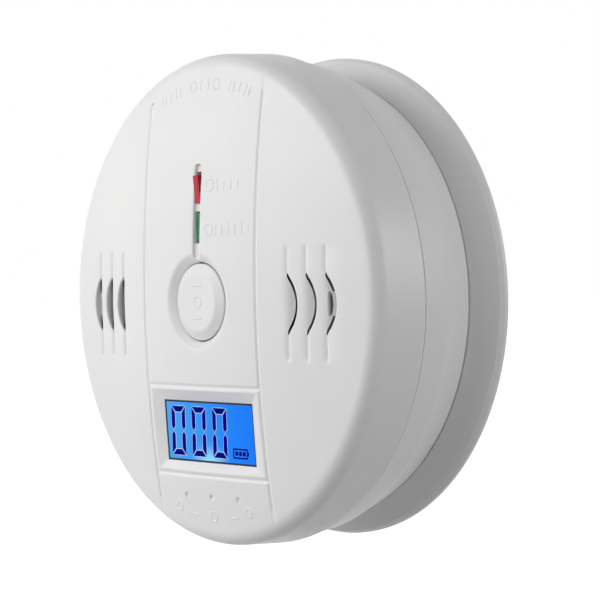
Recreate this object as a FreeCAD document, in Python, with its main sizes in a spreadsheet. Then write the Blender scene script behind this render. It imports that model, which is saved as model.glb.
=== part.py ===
import FreeCAD, Part
import math
import os
import Sketcher
from FreeCAD import Placement, Rotation, Vector

# Carbon monoxide alarm on its wall base, as a parametric document, in millimetres.
#
# Frame: +Z is up, the face looks towards -Y and +X is on the right of someone who looks at it.
# The origin is the centre of the base's wall face. "Depth" is the distance out from the wall, so
# a point at depth d lies at y = -d.

SIZES = {
    # wall base
    "base_flare_reach": 4.6,
    "base_depth": 5.7,
    "base_rim_land": 0.8,
    "base_flare_round": 22.0,
    "base_skirt_wall": 1.1,
    "base_hollow_wall": 1.5,
    "base_hollow_depth": 2.9,
    "plate_thickness": 2.0,
    "base_rim_setback": 0.52,
    "base_rim_rise": 1.04,
    "plate_recess": 0.8,
    "recess_inner_radius": 12.0,
    "recess_outer_radius": 40.0,
    "recess_angle": 56.0,
    "screw_spacing": 60.0,
    "screw_slot_width": 4.5,
    "screw_slot_length": 8.0,
    # twist lock
    "lock_count": 3,
    "ledge_angle": 13.0,
    "ledge_thickness": 1.0,
    "lug_angle": 11.0,
    "lug_height": 1.2,
    "lug_thickness": 1.1,
    "lock_clearance": 0.4,
    "lock_gap": 0.3,
    # rear housing
    "housing_gap": 0.3,
    "housing_back_gap": 0.6,
    "ridge_step": 2.6,
    "ridge_depth": 14.0,
    "housing_seam_inset": 0.6,
    "housing_belly_round": 26.0,
    "housing_wall": 2.0,
    "neck_wall": 1.5,
    "neck_gap": 0.3,
    "seam_depth": 21.6,
    "seam_gap": 0.3,
    "lip_wall": 1.2,
    "lip_height": 1.9,
    # front cover
    "front_room": 14.0,
    "dome_radius": 276.0,
    "cover_taper": 0.58,
    "cover_round": 3.4,
    "cover_wall": 2.0,
    "inner_knee_radius": 28.0,
    "inner_knee_rise": 0.25,
    # centre panel and its soft grooves
    "panel_half_width": 18.26,
    "groove_half_width": 0.63,
    "groove_depth": 0.42,
    "panel_line_upper": 17.3,
    "panel_line_lower": 35.4,
    # display window and bezel
    "window_width": 29.0,
    "window_height": 12.5,
    "window_centre": 26.56,
    "window_drop": 2.65,
    "bezel_top_reach": 3.65,
    "bezel_bottom_reach": 13.7,
    "bezel_side_reach": 11.0,
    "bezel_height": 3.15,
    # louvres
    "louvre_inset": 23.58,
    "louvre_pitch": 4.98,
    "louvre_count": 3,
    "louvre_centre": 0.73,
    "slit_width": 0.65,
    "slit_length": 22.7,
    "slit_depth": 0.7,
    "scoop_chord": 11.7,
    "scoop_bulge": 3.5,
    "scoop_blend": 2.0,
    "scoop_depth": 2.6,
    "scoop_clearance": 0.6,
    "ramp_step": 0.12,
    "vent_start": 1.55,
    "vent_rim": 0.55,
    "louvre_pad_depth": 4.1,
    "louvre_pad_margin": 0.8,
    # light slot
    "slot_width": 1.9,
    "slot_top": 27.48,
    "slot_depth": 1.0,
    "alarm_led_height": 22.7,
    "operate_led_height": 14.7,
    "led_window_length": 6.4,
    # test button
    "button_height": -0.28,
    "button_radius": 7.73,
    "button_rim_drop": 1.12,
    "button_face_radius": 5.9,
    "button_face_drop": 0.24,
    "button_clearance": 0.27,
    "button_wall": 1.4,
    "button_flange": 1.05,
    "button_flange_thickness": 1.0,
    "button_travel": 0.6,
    "button_stem_radius": 1.9,
    "dish_width": 1.6,
    "dish_floor_drop": 1.3,
    "collar_wall": 1.7,
    "collar_shelf_drop": 3.3,
    "collar_back_drop": 5.5,
    # dimples under the display
    "dimple_radius": 0.6,
    "dimple_pitch": 8.42,
    "dimple_height": 39.72,
    "dimple_depth": 0.5,
    # fastening of cover, housing and board
    "boss_tray_gap": 0.209,
    "boss_joint_depth": 19.8,
    "cover_boss_radius": 3.4,
    "housing_boss_radius": 4.2,
    "screw_seat_depth": 15.4,
    "case_screw_radius": 1.4,
    "case_screw_length": 11.6,
    "case_head_radius": 2.6,
    "case_head_height": 2.0,
    "screw_hole_clearance": 0.3,
    "thread_clearance": 0.05,
    "post_x": 22.0,
    "post_z": 26.0,
    "post_radius": 2.5,
    "pcb_screw_radius": 1.0,
    "pcb_screw_length": 7.0,
    "pcb_head_radius": 2.0,
    "pcb_head_height": 1.4,
    # board
    "pcb_tray_gap": 3.25,
    "pcb_thickness": 1.6,
    "pcb_margin": 3.3,
    "pcb_notch_clearance": 0.6,
    # cells and their tray
    "cell_radius": 7.25,
    "cell_length": 50.5,
    "cell_nub_radius": 2.75,
    "cell_nub_height": 1.2,
    "cell_pitch": 15.2,
    "cell_clearance": 0.2,
    "cell_back_gap": 0.35,
    "cusp_width": 1.8,
    "tray_wall": 1.5,
    "contact_room": 3.05,
    "contact_thickness": 0.4,
    "contact_width": 9.0,
    "bridge_height": 5.0,
    "contact_slot_clearance": 0.25,
    # display stack
    "lcd_rear_width": 31.0,
    "lcd_rear_height": 15.0,
    "lcd_rear_drop": 6.0,
    "lcd_rear_thickness": 1.2,
    "lcd_front_drop": 2.8,
    "lcd_window_clearance": 0.2,
    "backlight_thickness": 3.2,
    "backlight_margin": 0.6,
    "holder_wall": 1.6,
    "holder_floor": 1.5,
    "holder_clearance": 0.15,
    "strip_thickness": 1.0,
    "strip_length": 27.0,
    # switch
    "switch_size": 6.0,
    "switch_height": 3.5,
    "switch_floor": 0.4,
    "plunger_radius": 1.7,
    "plunger_clearance": 0.1,
    "plunger_height": 2.55,
    "plunger_floor_gap": 0.3,
    "plunger_ratio": 0.5,
    "plunger_rest_gap": 0.35,
    # lights
    "led_width": 1.6,
    "led_length": 5.6,
    "led_body": 7.2,
    "led_flange": 0.3,
    "led_flange_height": 0.8,
    "led_leg": 0.5,
    "led_leg_pitch": 2.54,
    "alarm_led_drop": 0.75,
    "operate_led_drop": 1.25,
    "alarm_led_tilt": 6.0,
    # sounder and sensor
    "sounder_offset": 1.9,
    "sounder_radius": 10.8,
    "sounder_gap": 0.48,
    "sounder_wall": 1.2,
    "sounder_mouth": 3.0,
    "piezo_radius": 9.4,
    "piezo_thickness": 0.4,
    "piezo_seat": 2.6,
    "sensor_offset": 1.4,
    "sensor_radius": 9.3,
    "sensor_gap": 1.2,
    "sensor_rim": 0.6,
    "sensor_port_radius": 1.2,
    "sensor_pin": 1.0,
    "pin_hole_clearance": 0.2,
    "sensor_pin_circle": 6.5,
    "mesh_thickness": 0.3,
    "mesh_gap": 0.25,
    "mesh_width": 17.0,
    "mesh_height": 15.0,
    # small parts on the board
    "chip_length": 12.8,
    "chip_width": 7.5,
    "chip_standoff": 0.15,
    "chip_height": 2.3,
    "chip_x": -1.0,
    "chip_z": -12.0,
    "lead_pitch": 1.27,
    "lead_count": 10,
    "lead_width": 0.4,
    "lead_reach": 1.4,
    "lead_thickness": 0.25,
    "capacitor_x": 9.0,
    "capacitor_z": 35.0,
    "capacitor_radius": 3.15,
    "capacitor_height": 7.0,
    "inductor_x": -20.0,
    "inductor_z": 16.0,
    "inductor_radius": 4.0,
    "inductor_waist": 2.4,
    "inductor_height": 6.0,
    "inductor_flange": 1.2,
    "crystal_x": 13.5,
    "crystal_z": -12.0,
    "crystal_length": 10.5,
    "crystal_width": 4.4,
    "crystal_height": 3.4,
    "resistor_length": 2.0,
    "resistor_width": 1.25,
    "resistor_height": 0.9,
    "resistor_pitch": 3.0,
    "resistor_count": 5,
    "resistor_x": -14.0,
    "resistor_z": 12.0,
    "resistor_row_pitch": 5.0,
}


class Size:
    """A number together with the spreadsheet expression that yields it."""

    def __init__(self, value, text):
        self.value = float(value)
        self.text = text

    def __add__(self, other):
        return Size(self.value + number(other), f"({self.text} + {wording(other)})")

    def __radd__(self, other):
        return Size(number(other) + self.value, f"({wording(other)} + {self.text})")

    def __sub__(self, other):
        return Size(self.value - number(other), f"({self.text} - {wording(other)})")

    def __rsub__(self, other):
        return Size(number(other) - self.value, f"({wording(other)} - {self.text})")

    def __mul__(self, other):
        return Size(self.value * number(other), f"({self.text} * {wording(other)})")

    def __rmul__(self, other):
        return self * other

    def __truediv__(self, other):
        return Size(self.value / number(other), f"({self.text} / {wording(other)})")

    def __neg__(self):
        return Size(-self.value, f"(-1 * {self.text})")


def number(term):
    """Return the plain value of a Size or a number."""
    return term.value if isinstance(term, Size) else float(term)


def wording(term):
    """Return the expression text of a Size or a number."""
    return term.text if isinstance(term, Size) else f"({term})"


def square_root(term):
    return Size(math.sqrt(term.value), f"sqrt({term.text})")


def sine(angle):
    return Size(math.sin(math.radians(angle.value)), f"sin({angle.text} * 1deg)")


def cosine(angle):
    return Size(math.cos(math.radians(angle.value)), f"cos({angle.text} * 1deg)")


def arc_sine(term):
    """Return the angle in degrees whose sine is given."""
    return Size(math.degrees(math.asin(term.value)), f"(asin({term.text}) / 1deg)")


class SizeSheet:
    """The spreadsheet of driving dimensions; each attribute reads one as a Size."""

    def __init__(self, document, sizes):
        self.sheet = document.addObject("Spreadsheet::Sheet", "Sizes")
        for row, (alias, value) in enumerate(sizes.items(), start=1):
            self.sheet.set(f"A{row}", alias)
            self.sheet.set(f"B{row}", str(value))
            self.sheet.setAlias(f"B{row}", alias)
        document.recompute()

    def __getattr__(self, alias):
        return Size(getattr(self.sheet, alias), f"Sizes.{alias}")


doc = FreeCAD.newDocument("carbon_monoxide_alarm")
size = SizeSheet(doc, SIZES)


# ---------------------------------------------------------------- drawing and feature helpers


def bind(target, path, term):
    """Set a property from a Size, or from a plain number."""
    if isinstance(term, Size):
        target.setExpression(path, term.text)
    else:
        setattr(target, path, term)


def start_body(label):
    body = doc.addObject("PartDesign::Body", label)
    body.Label = label
    return body


def plane_of(body, role):
    """Return the body's own origin plane or axis of that role."""
    return [item for item in body.Origin.OriginFeatures if item.Role == role][0]


def sketch_on(body, name, role, height=0.0):
    """Start a sketch on one of the body's origin planes, raised along the plane's normal."""
    plane = plane_of(body, role)
    sketch = body.newObject("Sketcher::SketchObject", name)
    sketch.AttachmentSupport = [(plane, "")]
    sketch.MapMode = "FlatFace"
    sketch.AttachmentOffset = Placement(Vector(0, 0, number(height)), Rotation())
    if isinstance(height, Size):
        sketch.setExpression("AttachmentOffset.Base.z", height.text)
    return sketch


def face_sketch(body, name, depth):
    """Start a sketch parallel to the wall: its x is X, its y is Z and its normal points out."""
    return sketch_on(body, name, "XZ_Plane", depth)


def profile_sketch(body, name, height=0.0):
    """Start a sketch for revolved profiles: its x is the radius and its y is minus the depth."""
    return sketch_on(body, name, "XY_Plane", height)


def constrain(sketch, kind, geometry, point, term):
    if point is None:
        index = sketch.addConstraint(Sketcher.Constraint(kind, geometry, abs(number(term))))
    else:
        index = sketch.addConstraint(Sketcher.Constraint(kind, geometry, point, number(term)))
    if isinstance(term, Size):
        text = term.text if point is not None or term.value > 0 else (-term).text
        sketch.setExpression(f"Constraints[{index}]", text)


def arc_between(start, end, radius):
    """Return the short arc from start to end: counter-clockwise for a positive radius."""
    chord = end.sub(start)
    left = Vector(-chord.y, chord.x, 0).normalize()
    rise = math.sqrt(radius * radius - chord.Length * chord.Length / 4)
    middle = start.add(end).multiply(0.5)
    centre = middle.add(left.multiply(math.copysign(rise, radius)))
    first, last = (start, end) if radius > 0 else (end, start)
    angles = [math.atan2(point.y - centre.y, point.x - centre.x) for point in (first, last)]
    if angles[1] < angles[0]:
        angles[1] += 2 * math.pi
    return Part.ArcOfCircle(Part.Circle(centre, Vector(0, 0, 1), abs(radius)), *angles)


def draw_outline(sketch, vertices):
    """Draw a closed outline; a vertex is (x, y), or (x, y, radius of the arc that leaves it)."""
    sides = []
    for index, vertex in enumerate(vertices):
        following = vertices[(index + 1) % len(vertices)]
        start = Vector(number(vertex[0]), number(vertex[1]), 0)
        end = Vector(number(following[0]), number(following[1]), 0)
        if len(vertex) == 3:
            geometry = sketch.addGeometry(arc_between(start, end, number(vertex[2])), False)
            points = (1, 2) if number(vertex[2]) > 0 else (2, 1)
        else:
            geometry = sketch.addGeometry(Part.LineSegment(start, end), False)
            points = (1, 2)
        sides.append((geometry, points))
    for index, (geometry, points) in enumerate(sides):
        next_geometry, next_points = sides[(index + 1) % len(sides)]
        sketch.addConstraint(
            Sketcher.Constraint("Coincident", geometry, points[1], next_geometry, next_points[0])
        )
    for (geometry, points), vertex in zip(sides, vertices):
        constrain(sketch, "DistanceX", geometry, points[0], vertex[0])
        constrain(sketch, "DistanceY", geometry, points[0], vertex[1])
        if len(vertex) == 3:
            constrain(sketch, "Radius", geometry, None, vertex[2])


def draw_rectangle(sketch, left, right, bottom, top):
    draw_outline(sketch, [(left, bottom), (right, bottom), (right, top), (left, top)])


def draw_centred_rectangle(sketch, centre_x, centre_y, width, height):
    draw_rectangle(
        sketch,
        centre_x - width / 2,
        centre_x + width / 2,
        centre_y - height / 2,
        centre_y + height / 2,
    )


def draw_circle(sketch, x, y, radius):
    centre = Vector(number(x), number(y), 0)
    circle = Part.Circle(centre, Vector(0, 0, 1), number(radius))
    geometry = sketch.addGeometry(circle, False)
    constrain(sketch, "DistanceX", geometry, 3, x)
    constrain(sketch, "DistanceY", geometry, 3, y)
    constrain(sketch, "Radius", geometry, None, radius)


def add_feature(body, kind, name, sketch):
    feature = body.newObject(f"PartDesign::{kind}", name)
    feature.Profile = sketch
    body.Tip = feature
    return feature


def pad(body, name, sketch, length, reverse=False):
    feature = add_feature(body, "Pad", name, sketch)
    bind(feature, "Length", length)
    feature.Reversed = reverse
    return feature


def pocket(body, name, sketch, length, reverse=False):
    feature = add_feature(body, "Pocket", name, sketch)
    bind(feature, "Length", length)
    feature.Reversed = reverse
    return feature


def turn(body, kind, name, sketch, axis, angle=360.0, middle=False):
    """Add a Revolution or a Groove about the axis (an object and its axis name)."""
    feature = add_feature(body, kind, name, sketch)
    feature.ReferenceAxis = axis
    bind(feature, "Angle", angle)
    feature.Midplane = middle
    return feature


def spin(body, kind, name, sketch):
    """Turn a profile all the way about its own sketch's vertical axis."""
    return turn(body, kind, name, sketch, (sketch, ["V_Axis"]))


def polar_pattern(body, name, features, axis, count, angle=360.0):
    pattern = body.newObject("PartDesign::PolarPattern", name)
    pattern.Originals = features
    pattern.Axis = axis
    bind(pattern, "Angle", angle)
    bind(pattern, "Occurrences", count)
    return pattern


def at_depth(radius, depth, *arc):
    """Return a profile vertex for a radius and a depth from the wall."""
    return (radius, -depth, *arc)


def dome_depth(radius, inset=0.0):
    """Return the depth of the dome, or of a dome set in under it, at a radius from its axis."""
    inner = size.dome_radius - inset
    centre_depth = front_depth - size.dome_radius
    return centre_depth + square_root(inner * inner - radius * radius)


def tangent(angle):
    return sine(angle) / cosine(angle)


def polar_points(radius, count, start_angle):
    """Return the (x, z) points of a ring, by count and starting angle in degrees."""
    points = []
    for step in range(count):
        angle = start_angle + 360.0 * step / count
        points.append((radius * math.cos(math.radians(angle)), radius * math.sin(math.radians(angle))))
    return points


# Cuts run past the surface that they open by this much.
OVERSHOOT = 1.0
# A half circle's radius is a touch over its half chord, so that rounding can't make it too small.
HALF_CIRCLE = 1.0001

# Values that several sub-parts share. The cells set the tray, the tray sets the screw circle and
# so on outwards to the rim, and from the wall to the front.
BOSS_START_ANGLE = 90.0
cradle_radius = size.cell_radius + size.cell_clearance
tray_half_length = size.cell_length / 2 + size.contact_room
tray_half_height = size.cell_pitch + cradle_radius
counterbore_radius = size.case_head_radius + size.screw_hole_clearance
boss_x = tray_half_length + size.tray_wall + counterbore_radius + size.boss_tray_gap
boss_circle_radius = boss_x / math.cos(math.radians(BOSS_START_ANGLE - 60.0))
neck_radius = boss_circle_radius + counterbore_radius + size.neck_gap + size.neck_wall
ledge_radius = neck_radius + size.lock_clearance
skirt_radius = ledge_radius + size.lug_height
base_neck_radius = skirt_radius + size.base_skirt_wall
base_radius = base_neck_radius + size.base_flare_reach
ridge_radius = base_neck_radius + size.ridge_step
cover_front_radius = base_radius - size.cover_taper
cover_inner_radius = cover_front_radius - size.cover_wall
pcb_radius = boss_circle_radius + size.pcb_margin

housing_back_depth = size.plate_thickness + size.housing_back_gap
cell_depth = housing_back_depth + size.cell_back_gap + size.cell_radius
tray_floor_depth = cell_depth + cradle_radius + size.tray_wall
pcb_depth = tray_floor_depth + size.pcb_tray_gap
pcb_front_depth = pcb_depth + size.pcb_thickness
front_depth = pcb_front_depth + size.front_room
shoulder_depth = size.base_depth + size.housing_gap
housing_floor_depth = shoulder_depth + size.housing_wall
housing_top_depth = size.seam_depth - size.seam_gap
window_depth = front_depth - size.window_drop
lcd_front_depth = front_depth - size.lcd_front_drop
lcd_rear_depth = front_depth - size.lcd_rear_drop
collar_shelf_depth = front_depth - size.collar_shelf_drop
collar_back_depth = front_depth - size.collar_back_drop
button_hole_radius = size.button_radius + size.button_clearance
switch_top_depth = pcb_front_depth + size.switch_height
plunger_top_depth = switch_top_depth + size.plunger_height
stem_end_depth = plunger_top_depth + size.plunger_rest_gap

louvre_middle = base_radius - size.louvre_inset + size.louvre_pitch
louvre_slope = arc_sine(louvre_middle / size.dome_radius)
mesh_middle = louvre_middle + (size.slit_width + size.scoop_bulge) / 2
mesh_slope = arc_sine(mesh_middle / size.dome_radius)
sounder_x = louvre_middle - size.sounder_offset
sensor_x = louvre_middle - size.sensor_offset
BOSS_POINTS = polar_points(boss_circle_radius, 3, BOSS_START_ANGLE)
SENSOR_PINS = [(sensor_x + x, z) for x, z in polar_points(size.sensor_pin_circle, 3, 90.0)]
POST_POINTS = [(side * size.post_x, -side * size.post_z) for side in (-1, 1)]
scoop_radius = (
    size.scoop_chord * size.scoop_chord / 4 + size.scoop_bulge * size.scoop_bulge
) / (2 * size.scoop_bulge)


# ---------------------------------------------------------------- wall base


def make_mounting_base():
    """Flared wall base: plate, hollow skirt, ledges of the twist lock and two screw slots."""
    body = start_body("mounting_base")
    rim_top = size.base_rim_land + size.base_rim_rise
    profile = profile_sketch(body, "base_profile")
    draw_outline(profile, [
        at_depth(0, 0),
        at_depth(0, size.plate_thickness),
        at_depth(skirt_radius, size.plate_thickness),
        at_depth(skirt_radius, size.base_depth),
        at_depth(base_neck_radius, size.base_depth, -size.base_flare_round),
        at_depth(base_radius - size.base_rim_setback, rim_top),
        at_depth(base_radius, size.base_rim_land),
        at_depth(base_radius, 0),
        at_depth(base_radius - size.base_hollow_wall, 0),
        at_depth(skirt_radius + size.base_hollow_wall, size.base_hollow_depth),
        at_depth(skirt_radius + size.base_hollow_wall, 0),
    ])
    spin(body, "Revolution", "base_turned", profile)

    ledge = profile_sketch(body, "ledge_profile")
    draw_rectangle(
        ledge, ledge_radius, skirt_radius + size.base_skirt_wall / 2,
        -size.base_depth, size.ledge_thickness - size.base_depth,
    )
    ledge_turned = turn(
        body, "Revolution", "ledge", ledge, (ledge, ["V_Axis"]), size.ledge_angle, middle=True
    )
    ring = polar_pattern(body, "ledges", [ledge_turned], (ledge, ["V_Axis"]), size.lock_count)
    body.Tip = ring

    recess = face_sketch(body, "recess_outline", 0.0)
    half = size.recess_angle / 2
    inner_x = size.recess_inner_radius * cosine(half)
    inner_z = size.recess_inner_radius * sine(half)
    outer_x = size.recess_outer_radius * cosine(half)
    outer_z = size.recess_outer_radius * sine(half)
    turned = 0.5 ** 0.5
    corners = [(inner_x, -inner_z), (outer_x, -outer_z), (outer_x, outer_z), (inner_x, inner_z)]
    places = [((x - z) * turned, (x + z) * turned) for x, z in corners]
    draw_outline(recess, [
        places[0],
        (*places[1], size.recess_outer_radius),
        places[2],
        (*places[3], -size.recess_inner_radius),
    ])
    first = pocket(body, "recess", recess, size.plate_recess, reverse=True)
    ring = polar_pattern(body, "recesses", [first], (recess, ["N_Axis"]), 4)
    body.Tip = ring

    slots = face_sketch(body, "screw_slot_outlines", 0.0)
    half_width = size.screw_slot_width / 2
    straight = (size.screw_slot_length - size.screw_slot_width) / 2
    for side in (-1, 1):
        centre = side * size.screw_spacing / 2
        draw_outline(slots, [
            (half_width, centre - straight),
            (half_width, centre + straight, half_width * HALF_CIRCLE),
            (-half_width, centre + straight),
            (-half_width, centre - straight, half_width * HALF_CIRCLE),
        ])
    pocket(body, "screw_slots", slots, size.plate_thickness, reverse=True)


# ---------------------------------------------------------------- rear housing


def make_rear_housing():
    """Rear shell with its ridge, the lugs of the twist lock, screw bosses and the cell tray."""
    body = start_body("rear_housing")
    lip_radius = cover_inner_radius - size.lock_clearance
    profile = profile_sketch(body, "housing_profile")
    draw_outline(profile, [
        at_depth(neck_radius - size.neck_wall, housing_back_depth),
        at_depth(neck_radius, housing_back_depth),
        at_depth(neck_radius, shoulder_depth),
        at_depth(base_neck_radius, shoulder_depth, -size.housing_belly_round),
        at_depth(ridge_radius, size.ridge_depth),
        at_depth(base_radius - size.housing_seam_inset, housing_top_depth),
        at_depth(lip_radius, housing_top_depth),
        at_depth(lip_radius, housing_top_depth + size.lip_height),
        at_depth(lip_radius - size.lip_wall, housing_top_depth + size.lip_height),
        at_depth(base_neck_radius - size.housing_wall, housing_floor_depth),
        at_depth(0, housing_floor_depth),
        at_depth(0, shoulder_depth),
        at_depth(neck_radius - size.neck_wall, shoulder_depth),
    ])
    spin(body, "Revolution", "housing_turned", profile)

    tray = face_sketch(body, "tray_outline", housing_back_depth)
    outer_x = tray_half_length + size.tray_wall
    outer_z = tray_half_height + size.tray_wall
    draw_rectangle(tray, -outer_x, outer_x, -outer_z, outer_z)
    pad(body, "tray_block", tray, tray_floor_depth - housing_back_depth)

    bosses = face_sketch(body, "boss_outlines", shoulder_depth)
    for x, z in BOSS_POINTS:
        draw_circle(bosses, x, z, size.housing_boss_radius)
    pad(body, "bosses", bosses, size.boss_joint_depth - shoulder_depth)

    cradle = sketch_on(body, "cradle_profile", "YZ_Plane", -tray_half_length)
    draw_cradle(cradle)
    pocket(body, "cradles", cradle, 2 * tray_half_length, reverse=True)

    seats = face_sketch(body, "screw_seats", 0.0)
    for x, z in BOSS_POINTS:
        draw_circle(seats, x, z, counterbore_radius)
    pocket(body, "screw_counterbores", seats, size.screw_seat_depth, reverse=True)
    holes = face_sketch(body, "screw_hole_outlines", 0.0)
    for x, z in BOSS_POINTS:
        draw_circle(holes, x, z, size.case_screw_radius + size.screw_hole_clearance)
    pocket(body, "screw_holes", holes, size.boss_joint_depth + OVERSHOOT, reverse=True)

    slots = face_sketch(body, "contact_slot_outlines", 0.0)
    slot_half = size.contact_width / 2 + size.contact_slot_clearance
    slot_reach = tray_half_length - size.contact_thickness - size.contact_slot_clearance
    for side in (-1, 1):
        centre = -side * size.cell_pitch
        near, far = (slot_reach, tray_half_length)
        if side < 0:
            near, far = (-tray_half_length, -slot_reach)
        draw_rectangle(slots, near, far, centre - slot_half, centre + slot_half)
    pocket(body, "contact_slots", slots, tray_floor_depth + OVERSHOOT, reverse=True)

    lug = profile_sketch(body, "lug_profile")
    lug_top = size.base_depth - size.ledge_thickness - size.lock_gap
    draw_rectangle(
        lug, neck_radius - size.neck_wall / 2, skirt_radius - size.lock_clearance,
        -lug_top, size.lug_thickness - lug_top,
    )
    first = turn(body, "Revolution", "lug", lug, (lug, ["V_Axis"]), size.lug_angle, middle=True)
    body.Tip = polar_pattern(body, "lugs", [first], (lug, ["V_Axis"]), size.lock_count)


def draw_cradle(sketch):
    """Draw the tray's section across the cells: straight sides and one scallop for each cell."""
    # This plane's x is Y and its y is Z, so the depth is minus the first coordinate.
    half_pitch = size.cell_pitch / 2
    half_cusp = size.cusp_width / 2
    near = half_pitch - half_cusp
    cusp_depth = cell_depth + square_root(cradle_radius * cradle_radius - near * near)
    vertices = [(0, -tray_half_height), (0, tray_half_height)]
    vertices.append((-cell_depth, tray_half_height, cradle_radius * HALF_CIRCLE))
    vertices.append((-cusp_depth, half_pitch + half_cusp))
    vertices.append((-cusp_depth, near, cradle_radius))
    vertices.append((-cusp_depth, -near))
    vertices.append((-cusp_depth, -half_pitch - half_cusp, cradle_radius * HALF_CIRCLE))
    vertices.append((-cell_depth, -tray_half_height))
    draw_outline(sketch, vertices)


# ---------------------------------------------------------------- front cover


def make_front_cover():
    """Domed front shell with louvres, light slot, button dish, display bezel and soft grooves."""
    body = start_body("front_cover")
    dome_end, side_start = front_round_ends()
    knee_radius = size.inner_knee_radius
    knee_depth = dome_depth(knee_radius, size.cover_wall) + size.inner_knee_rise
    profile = profile_sketch(body, "cover_profile")
    draw_outline(profile, [
        at_depth(0, front_depth, size.dome_radius),
        at_depth(*dome_end, size.cover_round),
        at_depth(*side_start),
        at_depth(base_radius, size.seam_depth),
        at_depth(cover_inner_radius, size.seam_depth),
        at_depth(cover_inner_radius, dome_depth(cover_inner_radius, size.cover_wall)),
        at_depth(knee_radius, knee_depth),
        at_depth(0, knee_depth),
    ])
    spin(body, "Revolution", "cover_turned", profile)

    add_cover_bosses(body)
    add_button_collar(body)
    cut_panel_grooves(body)
    cut_bezel(body)
    cut_light_slot(body)
    cut_button_dish(body)
    cut_dimples(body)
    cut_louvres(body, -1, "left")
    cut_louvres(body, 1, "right")


def front_round_ends():
    """Return where the front's rounding meets the dome and the side, as (radius, depth) pairs.

    The side is a straight line through the rim's sharp corner and the seam. The rounding's centre
    lies one rounding inside that line, and one rounding inside the dome.
    """
    corner_depth = dome_depth(cover_front_radius)
    fall = corner_depth - size.seam_depth
    slant = square_root(fall * fall + size.cover_taper * size.cover_taper)
    out, forward = fall / slant, size.cover_taper / slant
    centre_depth = front_depth - size.dome_radius
    reach = out * cover_front_radius + forward * (corner_depth - centre_depth) - size.cover_round
    inner_dome = size.dome_radius - size.cover_round
    along = square_root(inner_dome * inner_dome - reach * reach)
    round_radius = out * reach - forward * along
    round_rise = forward * reach + out * along
    share = size.dome_radius / inner_dome
    dome_end = (round_radius * share, centre_depth + round_rise * share)
    side_start = (
        round_radius + out * size.cover_round,
        centre_depth + round_rise + forward * size.cover_round,
    )
    return dome_end, side_start


def add_cover_bosses(body):
    """Add the screw bosses and the board's posts, and bore them."""
    bosses = face_sketch(body, "boss_outlines", size.boss_joint_depth)
    for x, z in BOSS_POINTS:
        draw_circle(bosses, x, z, size.cover_boss_radius)
    boss_top = dome_depth(boss_circle_radius, size.cover_wall / 2)
    pad(body, "bosses", bosses, boss_top - size.boss_joint_depth)
    posts = face_sketch(body, "post_outlines", pcb_front_depth)
    for x, z in POST_POINTS:
        draw_circle(posts, x, z, size.post_radius)
    post_reach = square_root(size.post_x * size.post_x + size.post_z * size.post_z)
    post_top = dome_depth(post_reach, size.cover_wall / 2)
    pad(body, "posts", posts, post_top - pcb_front_depth)

    bores = face_sketch(body, "boss_bore_outlines", size.boss_joint_depth)
    for x, z in BOSS_POINTS:
        draw_circle(bores, x, z, size.case_screw_radius + size.thread_clearance)
    bore_end = size.screw_seat_depth + size.case_screw_length + OVERSHOOT
    pocket(body, "boss_bores", bores, bore_end - size.boss_joint_depth, reverse=True)
    bores = face_sketch(body, "post_bore_outlines", pcb_front_depth)
    for x, z in POST_POINTS:
        draw_circle(bores, x, z, size.pcb_screw_radius + size.thread_clearance)
    bore_end = pcb_depth + size.pcb_screw_length + OVERSHOOT
    pocket(body, "post_bores", bores, bore_end - pcb_front_depth, reverse=True)


def add_button_collar(body):
    """Add the ring inside the cover that guides the button and keeps it in."""
    collar = profile_sketch(body, "collar_profile", size.button_height)
    inner = size.button_radius + size.button_flange + size.button_clearance
    top = front_depth - size.cover_wall * 0.85
    draw_outline(collar, [
        at_depth(size.button_face_radius, collar_shelf_depth),
        at_depth(size.button_face_radius, top),
        at_depth(inner + size.collar_wall, top),
        at_depth(inner + size.collar_wall, collar_back_depth),
        at_depth(inner, collar_back_depth),
        at_depth(inner, collar_shelf_depth),
    ])
    spin(body, "Revolution", "button_collar", collar)


def dome_sketch(body, name, role):
    """Start a sketch whose origin is the dome's centre, across the dome or upright."""
    sketch = sketch_on(body, name, role)
    centre = size.dome_radius - front_depth
    axis = "y" if role == "XY_Plane" else "x"
    place = Vector(0, centre.value, 0) if axis == "y" else Vector(centre.value, 0, 0)
    sketch.AttachmentOffset = Placement(place, Rotation())
    sketch.setExpression(f"AttachmentOffset.Base.{axis}", centre.text)
    return sketch


def groove_corners(along, reach):
    """Return the soft groove's V as (along, reach) pairs, wide enough to clear the surface."""
    half = 2 * size.groove_half_width
    outside = reach + size.groove_depth
    inside = reach - size.groove_depth
    return [(along - half, outside), (along, inside), (along + half, outside)]


def dome_reach(offset):
    """Return the distance from the dome's centre line to its surface, beside the middle."""
    return square_root(size.dome_radius * size.dome_radius - offset * offset)


def cut_panel_grooves(body):
    """Cut the grooves round the centre panel; each follows the dome, the upright ones to its rim."""
    along = 2 * arc_sine(base_radius / size.dome_radius) + OVERSHOOT
    for side, name in ((-1, "left"), (1, "right")):
        groove = dome_sketch(body, f"{name}_groove_profile", "XY_Plane")
        reach = dome_reach(size.panel_half_width)
        corners = groove_corners(side * size.panel_half_width, reach)
        draw_outline(groove, [(along, -far) for along, far in corners])
        turn(body, "Groove", f"{name}_groove", groove, (groove, ["H_Axis"]), along, middle=True)
    across = 2 * arc_sine(size.panel_half_width / size.dome_radius)
    for line, name in ((size.panel_line_upper, "upper"), (size.panel_line_lower, "lower")):
        groove = dome_sketch(body, f"{name}_groove_profile", "YZ_Plane")
        corners = groove_corners(-line, dome_reach(line))
        draw_outline(groove, [(-far, along) for along, far in corners])
        turn(body, "Groove", f"{name}_groove", groove, (groove, ["V_Axis"]), across, middle=True)


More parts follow.
